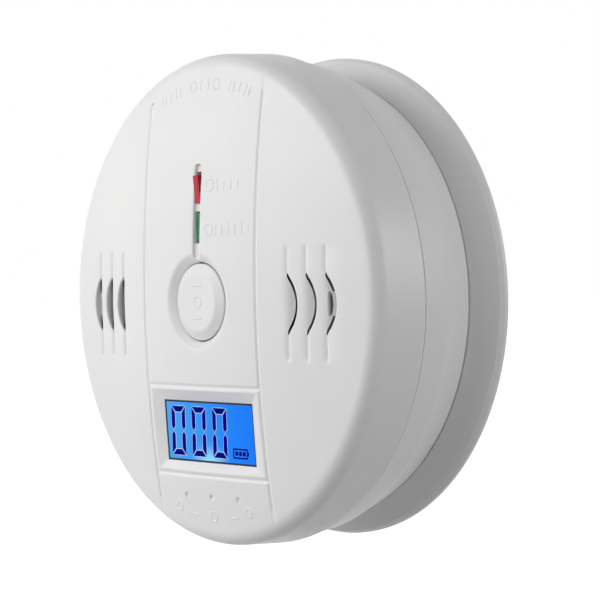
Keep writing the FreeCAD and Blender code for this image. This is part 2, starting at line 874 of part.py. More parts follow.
def cut_bezel(body):
    """Cut the display's bevelled frame and its window."""
    half_width = size.window_width / 2
    top = size.window_height / 2 - size.window_centre
    bottom = -size.window_height / 2 - size.window_centre
    inner = face_sketch(body, "bezel_inner", window_depth)
    draw_rectangle(inner, -half_width, half_width, bottom, top)
    outer = face_sketch(body, "bezel_outer", window_depth + size.bezel_height)
    draw_rectangle(
        outer, -half_width - size.bezel_side_reach, half_width + size.bezel_side_reach,
        bottom - size.bezel_bottom_reach, top + size.bezel_top_reach,
    )
    bezel = add_feature(body, "SubtractiveLoft", "bezel", inner)
    bezel.Sections = [outer]
    bezel.Ruled = True
    window = face_sketch(body, "window_outline", window_depth + OVERSHOOT)
    draw_rectangle(window, -half_width, half_width, bottom, top)
    pocket(body, "window", window, 2 * size.cover_wall + OVERSHOOT)


def tangent_sketch(body, name, height):
    """Start a sketch that touches the dome at a height over its middle; its y points up."""
    sketch = face_sketch(body, name, dome_depth(height))
    tilt = arc_sine(height / size.dome_radius)
    sketch.AttachmentOffset = Placement(
        Vector(0, height.value, dome_depth(height).value), Rotation(Vector(-1, 0, 0), tilt.value)
    )
    sketch.setExpression("AttachmentOffset.Base.y", height.text)
    sketch.setExpression("AttachmentOffset.Rotation.Angle", tilt.text)
    return sketch


def cut_light_slot(body):
    """Cut the slot that holds both lights, and the two windows in its floor."""
    start = size.button_height + size.button_radius - size.slot_width
    middle = (size.slot_top + start) / 2
    half = size.slot_width / 2
    slot = tangent_sketch(body, "light_slot_outline", middle)
    draw_outline(slot, [
        (half, start - middle),
        (half, size.slot_top - half - middle, half * HALF_CIRCLE),
        (-half, size.slot_top - half - middle),
        (-half, start - middle),
    ])
    pocket(body, "light_slot", slot, size.slot_depth)
    windows = tangent_sketch(body, "light_window_outlines", middle)
    for height in (size.alarm_led_height, size.operate_led_height):
        draw_centred_rectangle(
            windows, 0 * half, height - middle, size.slot_width, size.led_window_length
        )
    pocket(body, "light_windows", windows, 2 * size.cover_wall)


def cut_button_dish(body):
    """Cut the button's hole and the shallow dish round it."""
    dish = profile_sketch(body, "dish_profile", size.button_height)
    dish_radius = button_hole_radius + size.dish_width
    floor_depth = front_depth - size.dish_floor_drop
    rise = size.dish_floor_drop + OVERSHOOT / 2
    slope = size.dish_width / (dome_depth(dish_radius) - floor_depth)
    draw_outline(dish, [
        at_depth(0, collar_back_depth - OVERSHOOT),
        at_depth(button_hole_radius, collar_back_depth - OVERSHOOT),
        at_depth(button_hole_radius, floor_depth),
        at_depth(button_hole_radius + slope * rise, floor_depth + rise),
        at_depth(0, floor_depth + rise),
    ])
    spin(body, "Groove", "button_dish", dish)


def cut_dimples(body):
    """Cut the row of three dimples under the display."""
    floor = dome_depth(size.dimple_height) - size.dimple_depth
    dimples = face_sketch(body, "dimple_outlines", floor)
    for step in (-1, 0, 1):
        draw_circle(dimples, step * size.dimple_pitch, -size.dimple_height, size.dimple_radius)
    pocket(body, "dimples", dimples, 3 * size.dimple_depth, reverse=True)


def louvre_sketch(body, name, side, lift):
    """Start a sketch on one side that touches the dome at the middle louvre, lifted off it.

    Its origin lies on the middle louvre's slit and its x points along the dome to +X.
    """
    reach = size.dome_radius + lift
    depth = front_depth - size.dome_radius + reach * cosine(louvre_slope)
    across = side * reach * sine(louvre_slope)
    sketch = face_sketch(body, name, depth)
    sketch.AttachmentOffset = Placement(
        Vector(across.value, -size.louvre_centre.value, depth.value),
        Rotation(Vector(0, side, 0), louvre_slope.value),
    )
    sketch.setExpression("AttachmentOffset.Base.x", across.text)
    sketch.setExpression("AttachmentOffset.Base.y", (-size.louvre_centre).text)
    sketch.setExpression("AttachmentOffset.Rotation.Angle", louvre_slope.text)
    return sketch


def louvre_offsets():
    """Return each louvre's offset from the middle one, counted outwards."""
    count = int(size.louvre_count.value)
    return [(step - 1) * size.louvre_pitch for step in range(count)]


def cut_louvres(body, side, name):
    """Cut one side's louvres: scooped crescents with sloping floors, slits and D-shaped vents."""
    edge = size.slit_width / 2
    offsets = louvre_offsets()
    half_height = size.scoop_chord / 2 + size.scoop_blend
    near = offsets[0] - size.louvre_pad_margin
    far = offsets[-1] + edge + size.scoop_bulge + size.louvre_pad_margin
    outline = louvre_sketch(body, f"{name}_pad_outline", side, -size.louvre_pad_depth)
    left, right = sorted((side * near, side * far), key=number)
    draw_rectangle(outline, left, right, -half_height, half_height)
    pad_height = size.louvre_pad_depth - size.cover_wall / 2
    pad(body, f"{name}_louvre_pad", outline, pad_height)

    outline = louvre_sketch(body, f"{name}_scoop_outlines", side, size.scoop_clearance)
    for offset in offsets:
        draw_scoop(outline, side, offset + edge)
    pocket(body, f"{name}_scoops", outline, size.scoop_depth + size.scoop_clearance)

    # The sloping floors go back in as ramps; past the crescents they lie inside the wall.
    ramp = sketch_on(body, f"{name}_ramp_profile", "XY_Plane", -size.louvre_centre - half_height)
    place_ramp_sketch(ramp, side, -size.louvre_centre - half_height)
    for offset in offsets:
        start = side * (offset + edge)
        end = side * (offset + edge + size.scoop_bulge)
        floor = size.scoop_depth + size.ramp_step
        draw_outline(ramp, [(start, floor), (end, floor), (start, size.ramp_step)])
    pad(body, f"{name}_ramps", ramp, 2 * half_height)

    outline = louvre_sketch(body, f"{name}_slit_outlines", side, size.scoop_clearance)
    for offset in offsets:
        draw_centred_rectangle(outline, side * offset, 0 * edge, size.slit_width, size.slit_length)
    pocket(body, f"{name}_slits", outline, size.slit_depth + size.scoop_clearance)

    outline = louvre_sketch(body, f"{name}_vent_outlines", side, size.scoop_clearance)
    for offset in offsets:
        draw_vent(outline, side, offset + edge)
    pocket(body, f"{name}_vents", outline, size.louvre_pad_depth + 2 * size.scoop_clearance)


def place_ramp_sketch(sketch, side, height):
    """Turn a level sketch so that its x runs along the dome at the middle louvre, y inwards."""
    depth = dome_depth(louvre_middle)
    sketch.AttachmentOffset = Placement(
        Vector(side * louvre_middle.value, -depth.value, height.value),
        Rotation(Vector(0, 0, side), louvre_slope.value),
    )
    sketch.setExpression("AttachmentOffset.Base.x", (side * louvre_middle).text)
    sketch.setExpression("AttachmentOffset.Base.y", (-depth).text)
    sketch.setExpression("AttachmentOffset.Base.z", height.text)
    sketch.setExpression("AttachmentOffset.Rotation.Angle", louvre_slope.text)


def draw_scoop(sketch, side, start):
    """Draw the crescent: a straight side and a bulging arc that blends into it at both ends."""
    centre_x = start + size.scoop_bulge - scoop_radius
    join = scoop_radius + size.scoop_blend
    across = start + size.scoop_blend - centre_x
    up = square_root(join * join - across * across)
    meet_x = centre_x + scoop_radius * across / join
    meet_z = scoop_radius * up / join
    draw_outline(sketch, [
        (side * start, -up, -side * size.scoop_blend),
        (side * meet_x, -meet_z, side * scoop_radius),
        (side * meet_x, meet_z, -side * size.scoop_blend),
        (side * start, up),
    ])


def draw_vent(sketch, side, start):
    """Draw the D-shaped vent in the deep part of the scoop."""
    centre_x = start + size.scoop_bulge - scoop_radius
    radius = scoop_radius - size.vent_rim
    left = start + size.vent_start
    half = square_root(radius * radius - (left - centre_x) * (left - centre_x))
    draw_outline(sketch, [(side * left, -half, side * radius), (side * left, half)])


# ---------------------------------------------------------------- test button and its switch


def make_test_button():
    """Push button: bevelled cap, retaining flange and the stem that presses the switch."""
    body = start_body("test_button")
    face_depth = front_depth - size.button_face_drop
    rim_depth = front_depth - size.button_rim_drop
    flange_top = collar_shelf_depth - size.button_clearance
    flange_back = flange_top - size.button_flange_thickness
    inner = size.button_radius - size.button_wall
    roof = rim_depth - size.button_wall / 2
    profile = profile_sketch(body, "button_profile", size.button_height)
    draw_outline(profile, [
        at_depth(0, face_depth),
        at_depth(size.button_face_radius, face_depth),
        at_depth(size.button_radius, rim_depth),
        at_depth(size.button_radius, flange_top),
        at_depth(size.button_radius + size.button_flange, flange_top),
        at_depth(size.button_radius + size.button_flange, flange_back),
        at_depth(inner, flange_back),
        at_depth(inner, roof),
        at_depth(size.button_stem_radius, roof),
        at_depth(size.button_stem_radius, stem_end_depth),
        at_depth(0, stem_end_depth),
    ])
    spin(body, "Revolution", "button_turned", profile)


def make_switch():
    """Tactile switch on the board: square body with a well, and the plunger that rides in it."""
    body = start_body("switch_body")
    outline = face_sketch(body, "switch_outline", pcb_front_depth)
    draw_centred_rectangle(
        outline, 0 * size.switch_size, size.button_height, size.switch_size, size.switch_size
    )
    pad(body, "switch_block", outline, size.switch_height)
    well = face_sketch(body, "well_outline", switch_top_depth)
    draw_circle(well, 0, size.button_height, size.plunger_radius + size.plunger_clearance)
    pocket(body, "well", well, size.switch_height - size.switch_floor)

    plunger = start_body("switch_plunger")
    plunger_travel = size.button_travel * size.plunger_ratio
    start = pcb_front_depth + size.switch_floor + plunger_travel + size.plunger_floor_gap
    outline = face_sketch(plunger, "plunger_outline", start)
    draw_circle(outline, 0, size.button_height, size.plunger_radius)
    pad(plunger, "plunger_rod", outline, plunger_top_depth - start)


# ---------------------------------------------------------------- lights


def make_led(label, height, drop, tilt):
    """Rectangular light: lens block and flange, tilted about its foot, on two square legs."""
    foot_depth = front_depth - drop - size.led_body
    lean = Rotation(Vector(1, 0, 0), tilt)
    half_width = size.led_width / 2
    half_length = size.led_length / 2
    lens = Part.makeBox(
        size.led_width.value, size.led_body.value, size.led_length.value,
        Vector(-half_width.value, -size.led_body.value, -half_length.value),
    )
    flange = Part.makeBox(
        size.led_width.value + 2 * size.led_flange.value, size.led_flange_height.value,
        size.led_length.value + 2 * size.led_flange.value,
        Vector(
            -half_width.value - size.led_flange.value, -size.led_flange_height.value,
            -half_length.value - size.led_flange.value,
        ),
    )
    block = lens.fuse(flange).removeSplitter()
    shift = math.sin(math.radians(tilt)) * size.led_body.value / 2
    block.Placement = Placement(Vector(0, -foot_depth.value, height.value + shift), lean)
    shapes = [block]
    leg_length = foot_depth.value - pcb_depth.value + size.led_flange_height.value / 2
    for side in (-1, 1):
        leg_z = height.value + side * size.led_leg_pitch.value / 2
        corner = Vector(
            -size.led_leg.value / 2, -pcb_depth.value - leg_length,
            leg_z - size.led_leg.value / 2,
        )
        shapes.append(Part.makeBox(size.led_leg.value, leg_length, size.led_leg.value, corner))
    light = doc.addObject("Part::Feature", label)
    light.Label = label
    light.Shape = shapes[0].fuse(shapes[1:])


# ---------------------------------------------------------------- display stack


def window_limits(margin):
    """Return left, right, bottom and top of the display window, grown by a margin."""
    half_width = size.window_width / 2 + margin
    half_height = size.window_height / 2 + margin
    bottom = -size.window_centre - half_height
    return -half_width, half_width, bottom, half_height - size.window_centre


def make_display():
    """Display cell, light guide, the holder that carries both and the contact strip."""
    middle = -size.window_centre
    rear_top = lcd_rear_depth + size.lcd_rear_thickness
    cell = start_body("lcd_panel")
    rear = face_sketch(cell, "rear_glass", lcd_rear_depth)
    draw_centred_rectangle(rear, 0 * middle, middle, size.lcd_rear_width, size.lcd_rear_height)
    pad(cell, "rear_glass_pad", rear, size.lcd_rear_thickness)
    front = face_sketch(cell, "front_glass", rear_top)
    draw_rectangle(front, *window_limits(-size.lcd_window_clearance))
    pad(cell, "front_glass_pad", front, lcd_front_depth - rear_top)

    guide = start_body("lcd_backlight")
    guide_back = lcd_rear_depth - size.backlight_thickness
    outline = face_sketch(guide, "guide_outline", guide_back)
    draw_rectangle(outline, *window_limits(-size.backlight_margin))
    pad(guide, "guide_block", outline, size.backlight_thickness)

    holder = start_body("lcd_holder")
    inner_width = size.lcd_rear_width + 2 * size.holder_clearance
    inner_height = size.lcd_rear_height + 2 * size.holder_clearance
    outer_width = inner_width + 2 * size.holder_wall
    outer_height = inner_height + 2 * size.holder_wall
    holder_top = rear_top - 2 * size.holder_clearance
    block = face_sketch(holder, "holder_outline", pcb_front_depth)
    draw_centred_rectangle(block, 0 * middle, middle, outer_width, outer_height)
    pad(holder, "holder_block", block, holder_top - pcb_front_depth)
    seat = face_sketch(holder, "glass_seat", lcd_rear_depth)
    draw_centred_rectangle(seat, 0 * middle, middle, inner_width, inner_height)
    pocket(holder, "glass_seat_cut", seat, size.holder_wall, reverse=True)
    well = face_sketch(holder, "guide_well", guide_back)
    draw_rectangle(well, *window_limits(size.holder_clearance - size.backlight_margin))
    pocket(holder, "guide_well_cut", well, size.backlight_thickness + OVERSHOOT, reverse=True)
    under = face_sketch(holder, "holder_underside", pcb_front_depth)
    draw_rectangle(under, *window_limits(size.holder_clearance - size.backlight_margin))
    under_depth = guide_back - size.holder_floor - pcb_front_depth
    pocket(holder, "holder_underside_cut", under, under_depth, reverse=True)
    slot = face_sketch(holder, "strip_slot", pcb_front_depth)
    low, high = strip_limits()
    half = size.strip_length / 2
    clear = size.holder_clearance
    draw_rectangle(slot, -half - clear, half + clear, low - clear, high + clear)
    slot_height = lcd_rear_depth + OVERSHOOT - pcb_front_depth
    pocket(holder, "strip_slot_cut", slot, slot_height, reverse=True)

    strip = start_body("lcd_connector_strip")
    outline = face_sketch(strip, "strip_outline", pcb_front_depth)
    draw_rectangle(outline, -half, half, low, high)
    pad(strip, "strip_block", outline, lcd_rear_depth - pcb_front_depth)


def strip_limits():
    """Return the bottom and top of the contact strip, along the lower edge of the rear glass."""
    low = -size.window_centre - size.lcd_rear_height / 2 + size.holder_clearance
    return low, low + size.strip_thickness


# ---------------------------------------------------------------- board


def make_main_pcb():
    """Round board with notches for the screw bosses and holes for its own screws."""
    body = start_body("main_pcb")
    outline = face_sketch(body, "board_outline", pcb_depth)
    draw_circle(outline, 0, 0, pcb_radius)
    pad(body, "board", outline, size.pcb_thickness)
    notches = face_sketch(body, "notch_outlines", pcb_front_depth)
    for x, z in BOSS_POINTS:
        draw_circle(notches, x, z, size.cover_boss_radius + size.pcb_notch_clearance)
    for x, z in POST_POINTS:
        draw_circle(notches, x, z, size.pcb_screw_radius + size.thread_clearance)
    for x, z in SENSOR_PINS:
        hole = size.sensor_pin + size.pin_hole_clearance
        draw_centred_rectangle(notches, x, z, hole, hole)
    for height in (size.alarm_led_height, size.operate_led_height):
        for side in (-1, 1):
            leg_z = height + side * size.led_leg_pitch / 2
            hole = size.led_leg + size.pin_hole_clearance
            draw_centred_rectangle(notches, 0 * hole, leg_z, hole, hole)
    pocket(body, "notches", notches, size.pcb_thickness)


def make_screws(label, points, seat_depth, radius, length, head_radius, head_height):
    """Pan-head screws driven from the wall side, as one group of separate solids."""
    face_sketch_pads(label, points, [
        (seat_depth - head_height, head_radius, head_height),
        (seat_depth, radius, length),
    ])


def face_sketch_pads(label, points, steps):
    """Pad stacked circles at each point: one step for each (start depth, radius, height)."""
    body = start_body(label)
    for index, (start, radius, height) in enumerate(steps, start=1):
        sketch = face_sketch(body, f"step_{index}", start)
        for x, z in points:
            draw_circle(sketch, x, z, radius)
        pad(body, f"step_{index}_pad", sketch, height)


def make_microcontroller():
    """Small-outline chip: a body on two rows of bent leads."""
    body = start_body("microcontroller")
    base = pcb_front_depth + size.chip_standoff
    outline = face_sketch(body, "chip_outline", base)
    draw_centred_rectangle(outline, size.chip_x, size.chip_z, size.chip_length, size.chip_width)
    pad(body, "chip_block", outline, size.chip_height)
    row_length = (size.lead_count - 1) * size.lead_pitch
    lead_x = size.chip_x - row_length / 2
    lead = sketch_on(body, "lead_profile", "YZ_Plane", lead_x - size.lead_width / 2)
    edge = size.chip_z + size.chip_width / 2
    shoulder = base + size.chip_height / 2
    thick = size.lead_thickness
    knee = edge + size.lead_reach / 2
    draw_outline(lead, [
        (-shoulder, edge - thick),
        (-shoulder, knee),
        (-pcb_front_depth - thick, knee),
        (-pcb_front_depth - thick, edge + size.lead_reach),
        (-pcb_front_depth, edge + size.lead_reach),
        (-pcb_front_depth, knee - thick),
        (thick - shoulder, knee - thick),
        (thick - shoulder, edge - thick),
    ])
    first = pad(body, "lead", lead, size.lead_width)
    leads = body.newObject("PartDesign::MultiTransform", "leads")
    row = body.newObject("PartDesign::LinearPattern", "lead_row")
    row.Direction = (plane_of(body, "X_Axis"), [""])
    mirror_plane = body.newObject("PartDesign::Plane", "chip_middle")
    mirror_plane.AttachmentSupport = [(plane_of(body, "XY_Plane"), "")]
    mirror_plane.MapMode = "FlatFace"
    mirror_plane.AttachmentOffset = Placement(Vector(0, 0, size.chip_z.value), Rotation())
    mirror_plane.setExpression("AttachmentOffset.Base.z", size.chip_z.text)
    opposite = body.newObject("PartDesign::Mirrored", "lead_mirror")
    opposite.MirrorPlane = (mirror_plane, [""])
    leads.Originals = [first]
    leads.Transformations = [row, opposite]
    bind(row, "Length", row_length)
    bind(row, "Occurrences", size.lead_count)
    body.Tip = leads


def make_capacitors():
    points = [(size.capacitor_x, size.capacitor_z), (-size.capacitor_x, size.capacitor_z)]
    face_sketch_pads("capacitors", points, [
        (pcb_front_depth, size.capacitor_radius, size.capacitor_height),
    ])


def make_boost_inductor():
    """Drum inductor: two flanges with a narrow waist between them."""
    point = [(size.inductor_x, size.inductor_z)]
    waist_height = size.inductor_height - 2 * size.inductor_flange
    face_sketch_pads("boost_inductor", point, [
        (pcb_front_depth, size.inductor_radius, size.inductor_flange),
        (pcb_front_depth + size.inductor_flange, size.inductor_waist, waist_height),
        (
            pcb_front_depth + size.inductor_flange + waist_height, size.inductor_radius,
            size.inductor_flange,
        ),
    ])


def make_crystal():
    """Crystal in its low can with round ends."""
    body = start_body("crystal")
    outline = face_sketch(body, "can_outline", pcb_front_depth)
    half = size.crystal_width / 2
    straight = size.crystal_length / 2 - half
    draw_outline(outline, [
        (size.crystal_x - straight, size.crystal_z - half),
        (size.crystal_x + straight, size.crystal_z - half, half * HALF_CIRCLE),
        (size.crystal_x + straight, size.crystal_z + half),
        (size.crystal_x - straight, size.crystal_z + half, half * HALF_CIRCLE),
    ])
    pad(body, "can", outline, size.crystal_height)


def make_chip_parts():
    """Chip resistors and capacitors: two rows, as one group of separate solids."""
    body = start_body("chip_parts")
    outline = face_sketch(body, "chip_part_outlines", pcb_front_depth)
    for row in range(2):
        for step in range(int(size.resistor_count.value)):
            draw_centred_rectangle(
                outline, size.resistor_x + step * size.resistor_pitch,
                size.resistor_z + row * size.resistor_row_pitch,
                size.resistor_length, size.resistor_width,
            )
    pad(body, "chip_part_blocks", outline, size.resistor_height)


# ---------------------------------------------------------------- sounder and sensor


def mesh_back_depth(across):
    """Return the depth of a dust mesh's back at a distance from the middle of the part."""
    inset = size.louvre_pad_depth + size.mesh_gap + size.mesh_thickness
    return dome_depth(mesh_middle) - inset - (across - mesh_middle) * tangent(mesh_slope)


def make_sounder():
    """Sounder behind the left louvres: resonator cup on the board with the piezo disc inside."""
    cup = start_body("sounder_chamber")
    centre = -sounder_x
    height = mesh_back_depth(sounder_x + size.sounder_radius) - size.sounder_gap - pcb_front_depth
    outer = face_sketch(cup, "cup_outline", pcb_front_depth)
    draw_circle(outer, centre, 0, size.sounder_radius)
    pad(cup, "cup", outer, height)
    seat_depth = pcb_front_depth + size.piezo_seat
    lower = face_sketch(cup, "cup_back", pcb_front_depth)
    ledge = size.piezo_radius - size.sounder_wall / 2
    draw_circle(lower, centre, 0, ledge)
    pocket(cup, "cup_back_cut", lower, size.piezo_seat, reverse=True)
    upper = face_sketch(cup, "cup_chamber", seat_depth)
    draw_circle(upper, centre, 0, size.piezo_radius + size.holder_clearance)
    chamber = height - size.piezo_seat - size.sounder_wall
    pocket(cup, "cup_chamber_cut", upper, chamber, reverse=True)
    mouth = face_sketch(cup, "cup_mouth", seat_depth)
    draw_circle(mouth, centre, 0, size.sounder_mouth)
    pocket(cup, "cup_mouth_cut", mouth, height, reverse=True)
    face_sketch_pads("piezo_disc", [(centre, 0)], [
        (seat_depth, size.piezo_radius, size.piezo_thickness),
    ])


def make_co_sensor():
    """Electrochemical sensor behind the right louvres: can, crimped rim, gas port and pins."""
    body = start_body("co_sensor")
    top = mesh_back_depth(sensor_x + size.sensor_radius) - size.sensor_gap
    can = face_sketch(body, "can_outline", pcb_front_depth)
    draw_circle(can, sensor_x, 0, size.sensor_radius)
    pad(body, "can", can, top - size.sensor_rim - pcb_front_depth)
    rim = face_sketch(body, "rim_outline", top - size.sensor_rim)
    draw_circle(rim, sensor_x, 0, size.sensor_radius - size.sensor_rim)
    pad(body, "rim", rim, size.sensor_rim)
    port = face_sketch(body, "port_outline", top)
    draw_circle(port, sensor_x, 0, size.sensor_port_radius)
    pocket(body, "port", port, 2 * size.sensor_rim)
    pins = face_sketch(body, "pin_outlines", pcb_front_depth)
    for x, z in SENSOR_PINS:
        draw_centred_rectangle(pins, x, z, size.sensor_pin, size.sensor_pin)
    pad(body, "pins", pins, 2 * size.pcb_thickness, reverse=True)


def make_dust_mesh(label, side):
    """Thin sheet of mesh close behind one row of louvre pads, at the middle louvre's slope."""
    body = start_body(label)
    depth = mesh_back_depth(mesh_middle)
    outline = face_sketch(body, "mesh_outline", depth)
    outline.AttachmentOffset = Placement(
        Vector(side * mesh_middle.value, -size.louvre_centre.value, depth.value),
        Rotation(Vector(0, side, 0), mesh_slope.value),
    )
    outline.setExpression("AttachmentOffset.Base.x", (side * mesh_middle).text)
    outline.setExpression("AttachmentOffset.Base.y", (-size.louvre_centre).text)
    outline.setExpression("AttachmentOffset.Rotation.Angle", mesh_slope.text)
    draw_centred_rectangle(
        outline, 0 * mesh_slope, 0 * mesh_slope, size.mesh_width, size.mesh_height
    )
    pad(body, "mesh_sheet", outline, size.mesh_thickness)


# ---------------------------------------------------------------- cells and contacts


def make_cell(label, row, nub_side):
    """One AA cell lying along X: the can and the positive nub at one end."""
    body = start_body(label)
    can_length = size.cell_length - size.cell_nub_height
    start = -nub_side * size.cell_length / 2
    can = sketch_on(body, "can_outline", "YZ_Plane", start)
    draw_circle(can, -cell_depth, row * size.cell_pitch, size.cell_radius)
    pad(body, "can", can, can_length, reverse=nub_side < 0)
    nub = sketch_on(body, "nub_outline", "YZ_Plane", start)
    draw_circle(nub, -cell_depth, row * size.cell_pitch, size.cell_nub_radius)
    pad(body, "nub", nub, size.cell_length, reverse=nub_side < 0)


def tongue_outline(side, top_depth):
    """Return the bent strip's outline in (x, y): a leg up the tray's end and a sprung tongue."""
    wall = tray_half_length.value
    touch = size.cell_length.value / 2
    thick = size.contact_thickness.value
    fold = housing_back_depth.value + size.cell_back_gap.value
    middle = cell_depth.value
    reach = 2 * thick
    outer = [(wall, top_depth), (wall, fold), (wall - thick, fold)]
    tongue = [(touch, middle - reach), (touch, middle + reach), (touch + thick, middle + reach)]
    inner = [(touch + thick, middle - reach), (wall - thick, fold + reach), (wall - thick, top_depth)]
    return [Vector(side * x, -depth, 0) for x, depth in outer + tongue + inner]


def make_contact(label, side, rows, top_depth):
    """Battery contact of bent sheet: one tongue for each row, joined by a plate if two."""
    width = size.contact_width.value
    shapes = []
    for row in rows:
        points = tongue_outline(side, top_depth.value)
        face = Part.Face(Part.makePolygon(points + points[:1]))
        tongue = face.extrude(Vector(0, 0, width))
        tongue.translate(Vector(0, 0, row * size.cell_pitch.value - width / 2))
        shapes.append(tongue)
    if len(rows) > 1:
        thick = size.contact_thickness.value
        low = min(rows) * size.cell_pitch.value
        high = max(rows) * size.cell_pitch.value
        wall = tray_half_length.value
        near = wall - thick if side > 0 else -wall
        top = cell_depth.value + size.bridge_height.value / 2
        corner = Vector(near, -top, low)
        shapes.append(Part.makeBox(thick, size.bridge_height.value, high - low, corner))
    contact = doc.addObject("Part::Feature", label)
    contact.Label = label
    contact.Shape = shapes[0].fuse(shapes[1:]).removeSplitter() if shapes[1:] else shapes[0]


# ---------------------------------------------------------------- export


def is_sub_part(item):
    return item.TypeId in ("PartDesign::Body", "Part::Feature")


def check_document():
    """Stop if any object failed or any sub-part has no sound shape."""
    for item in doc.Objects:
        if "Invalid" in item.State or "Error" in item.State:
            raise RuntimeError(f"{item.Label} failed: {item.getStatusString()}")


def export_parts(labels):
    os.makedirs("parts", exist_ok=True)
    for label in labels:
        item = doc.getObjectsByLabel(label)[0]
        shape = item.Shape
        if shape.isNull() or not shape.isValid():
            raise RuntimeError(f"{label} has no sound shape")
        shape.exportStep(f"parts/{label}.step")
        box = shape.BoundBox
        print(f"{label}: {len(shape.Solids)} solid(s), {shape.Volume:.1f} mm3, "
              f"x {box.XMin:.2f}..{box.XMax:.2f} y {box.YMin:.2f}..{box.YMax:.2f} "
              f"z {box.ZMin:.2f}..{box.ZMax:.2f}")


def make_all():
    make_mounting_base()
    make_rear_housing()
    make_front_cover()
    make_test_button()
    make_switch()
    make_led("alarm_led", size.alarm_led_height, size.alarm_led_drop, size.alarm_led_tilt.value)
    make_led("operate_led", size.operate_led_height, size.operate_led_drop, 0.0)
    make_display()
    make_main_pcb()
    make_screws(
        "case_screws", BOSS_POINTS, size.screw_seat_depth, size.case_screw_radius,
        size.case_screw_length, size.case_head_radius, size.case_head_height,
    )
    make_screws(
        "pcb_screws", POST_POINTS, pcb_depth, size.pcb_screw_radius,
        size.pcb_screw_length, size.pcb_head_radius, size.pcb_head_height,
    )
    make_microcontroller()
    make_capacitors()
    make_boost_inductor()
    make_crystal()
    make_chip_parts()
    make_sounder()
    make_co_sensor()
    make_dust_mesh("dust_mesh_left", -1)
    make_dust_mesh("dust_mesh_right", 1)
    for index, (row, nub_side) in enumerate(((1, -1), (0, 1), (-1, -1)), start=1):
        make_cell(f"battery_{index}", row, nub_side)
    tray_end = cell_depth + 0.7 * size.cell_radius
    make_contact("contact_positive", -1, [1], pcb_depth)
    make_contact("contact_bridge_left", -1, [0, -1], tray_end)
    make_contact("contact_bridge_right", 1, [1, 0], tray_end)
    make_contact("contact_negative", 1, [-1], pcb_depth)


make_all()
doc.recompute()
check_document()
export_parts([item.Label for item in doc.Objects if is_sub_part(item)])
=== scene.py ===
"""Looks of a round wall-mounted carbon monoxide detector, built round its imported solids.

Lengths are millimetres until a mesh is made. Depth is counted forward from the wall, so a point's
y is its depth turned negative, +x is to the right of someone facing the detector, and +z is up.
"""

import logging
from collections.abc import Callable
from dataclasses import dataclass
from enum import Enum

import bmesh
import bpy
import numpy as np
from mathutils import Matrix, Vector


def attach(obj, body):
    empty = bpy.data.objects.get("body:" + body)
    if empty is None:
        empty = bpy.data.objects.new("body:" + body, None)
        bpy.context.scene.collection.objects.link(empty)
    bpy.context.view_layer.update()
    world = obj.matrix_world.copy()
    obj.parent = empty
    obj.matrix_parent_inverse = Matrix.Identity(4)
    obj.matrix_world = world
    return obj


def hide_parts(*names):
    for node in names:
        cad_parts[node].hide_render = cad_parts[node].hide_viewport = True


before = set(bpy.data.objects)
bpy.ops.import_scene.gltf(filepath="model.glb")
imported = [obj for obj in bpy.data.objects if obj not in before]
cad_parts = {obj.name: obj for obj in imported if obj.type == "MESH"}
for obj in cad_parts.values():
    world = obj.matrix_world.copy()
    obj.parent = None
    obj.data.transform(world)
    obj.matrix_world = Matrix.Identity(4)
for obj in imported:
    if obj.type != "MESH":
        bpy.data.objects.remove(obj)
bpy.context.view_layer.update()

LOG = logging.getLogger("detector")
MM = 0.001
# A cell of a smaller area gets no face, in square millimetres.
LEAST_AREA = 1e-7
# Points nearer to each other than this become one, in metres.
MERGE_DISTANCE = 1e-7
WHITE = (1.0, 1.0, 1.0, 1.0)
BLACK = (0.0, 0.0, 0.0, 1.0)

# The display's glass: the height of its middle, its depth there, its lean, and its half width.
GLASS_MIDDLE = -26.56
GLASS_DEPTH = 35.2
GLASS_LEAN = 0.062
GLASS_HALF_WIDTH = 14.5
# Height of the button's axis.
BUTTON_HEIGHT = -0.28

Array = np.ndarray
Thing = bpy.types.Object
Tree = bpy.types.NodeTree
Socket = bpy.types.NodeSocket
Pair = tuple[float, float]


class Body(Enum):
    """The moving bodies that the pieces made here ride on."""

    DETECTOR = "detector"
    BUTTON = "button"


# ---- colour and node helpers


def linear(code: str) -> tuple[float, float, float, float]:
    """Turn an sRGB hex colour into linear light.

    Args:
        code: Six hex digits, such as "e8e8ea".

    Returns:
        Red, green, blue and an alpha of 1.
    """
    parts = np.array([int(code[step : step + 2], 16) for step in (0, 2, 4)]) / 255.0
    light = np.where(parts <= 0.04045, parts / 12.92, ((parts + 0.055) / 1.055) ** 2.4)
    return (float(light[0]), float(light[1]), float(light[2]), 1.0)


def add_node(
    tree: Tree, kind: str, settings: dict | None = None, links: dict | None = None
) -> bpy.types.Node:
    """Add one node, set it up and link it.

    Args:
        tree: The node tree that gets the node.
        kind: The node's class name, without "ShaderNode".
        settings: Attribute names and input names or numbers with their values.
        links: Input names or numbers with the output sockets that feed them.

    Returns:
        The new node.
    """
    node = tree.nodes.new("ShaderNode" + kind)
    values = (settings or {}).items()
    for key, value in values:
        if isinstance(key, str) and key not in node.inputs:
            setattr(node, key, value)
    for key, value in values:
        if not isinstance(key, str) or key in node.inputs:
            node.inputs[key].default_value = value
    for key, socket in (links or {}).items():
        tree.links.new(socket, node.inputs[key])
    return node


def per_mm(size: float) -> float:
    """Texture scale that gives a pattern of this size in millimetres on Object coordinates."""
    return 1.0 / (size * MM)


def object_place(tree: Tree) -> Socket:
    """Return the object's own coordinates."""
    return add_node(tree, "TexCoord").outputs["Object"]


def add_noise(tree: Tree, place: Socket, size: float, detail: float = 2.0, rough: float = 0.5) -> Socket:
    """Return a noise whose clouds have this size in millimetres."""
    settings = {"Scale": per_mm(size), "Detail": detail, "Roughness": rough}
    return add_node(tree, "TexNoise", settings, {"Vector": place}).outputs["Fac"]


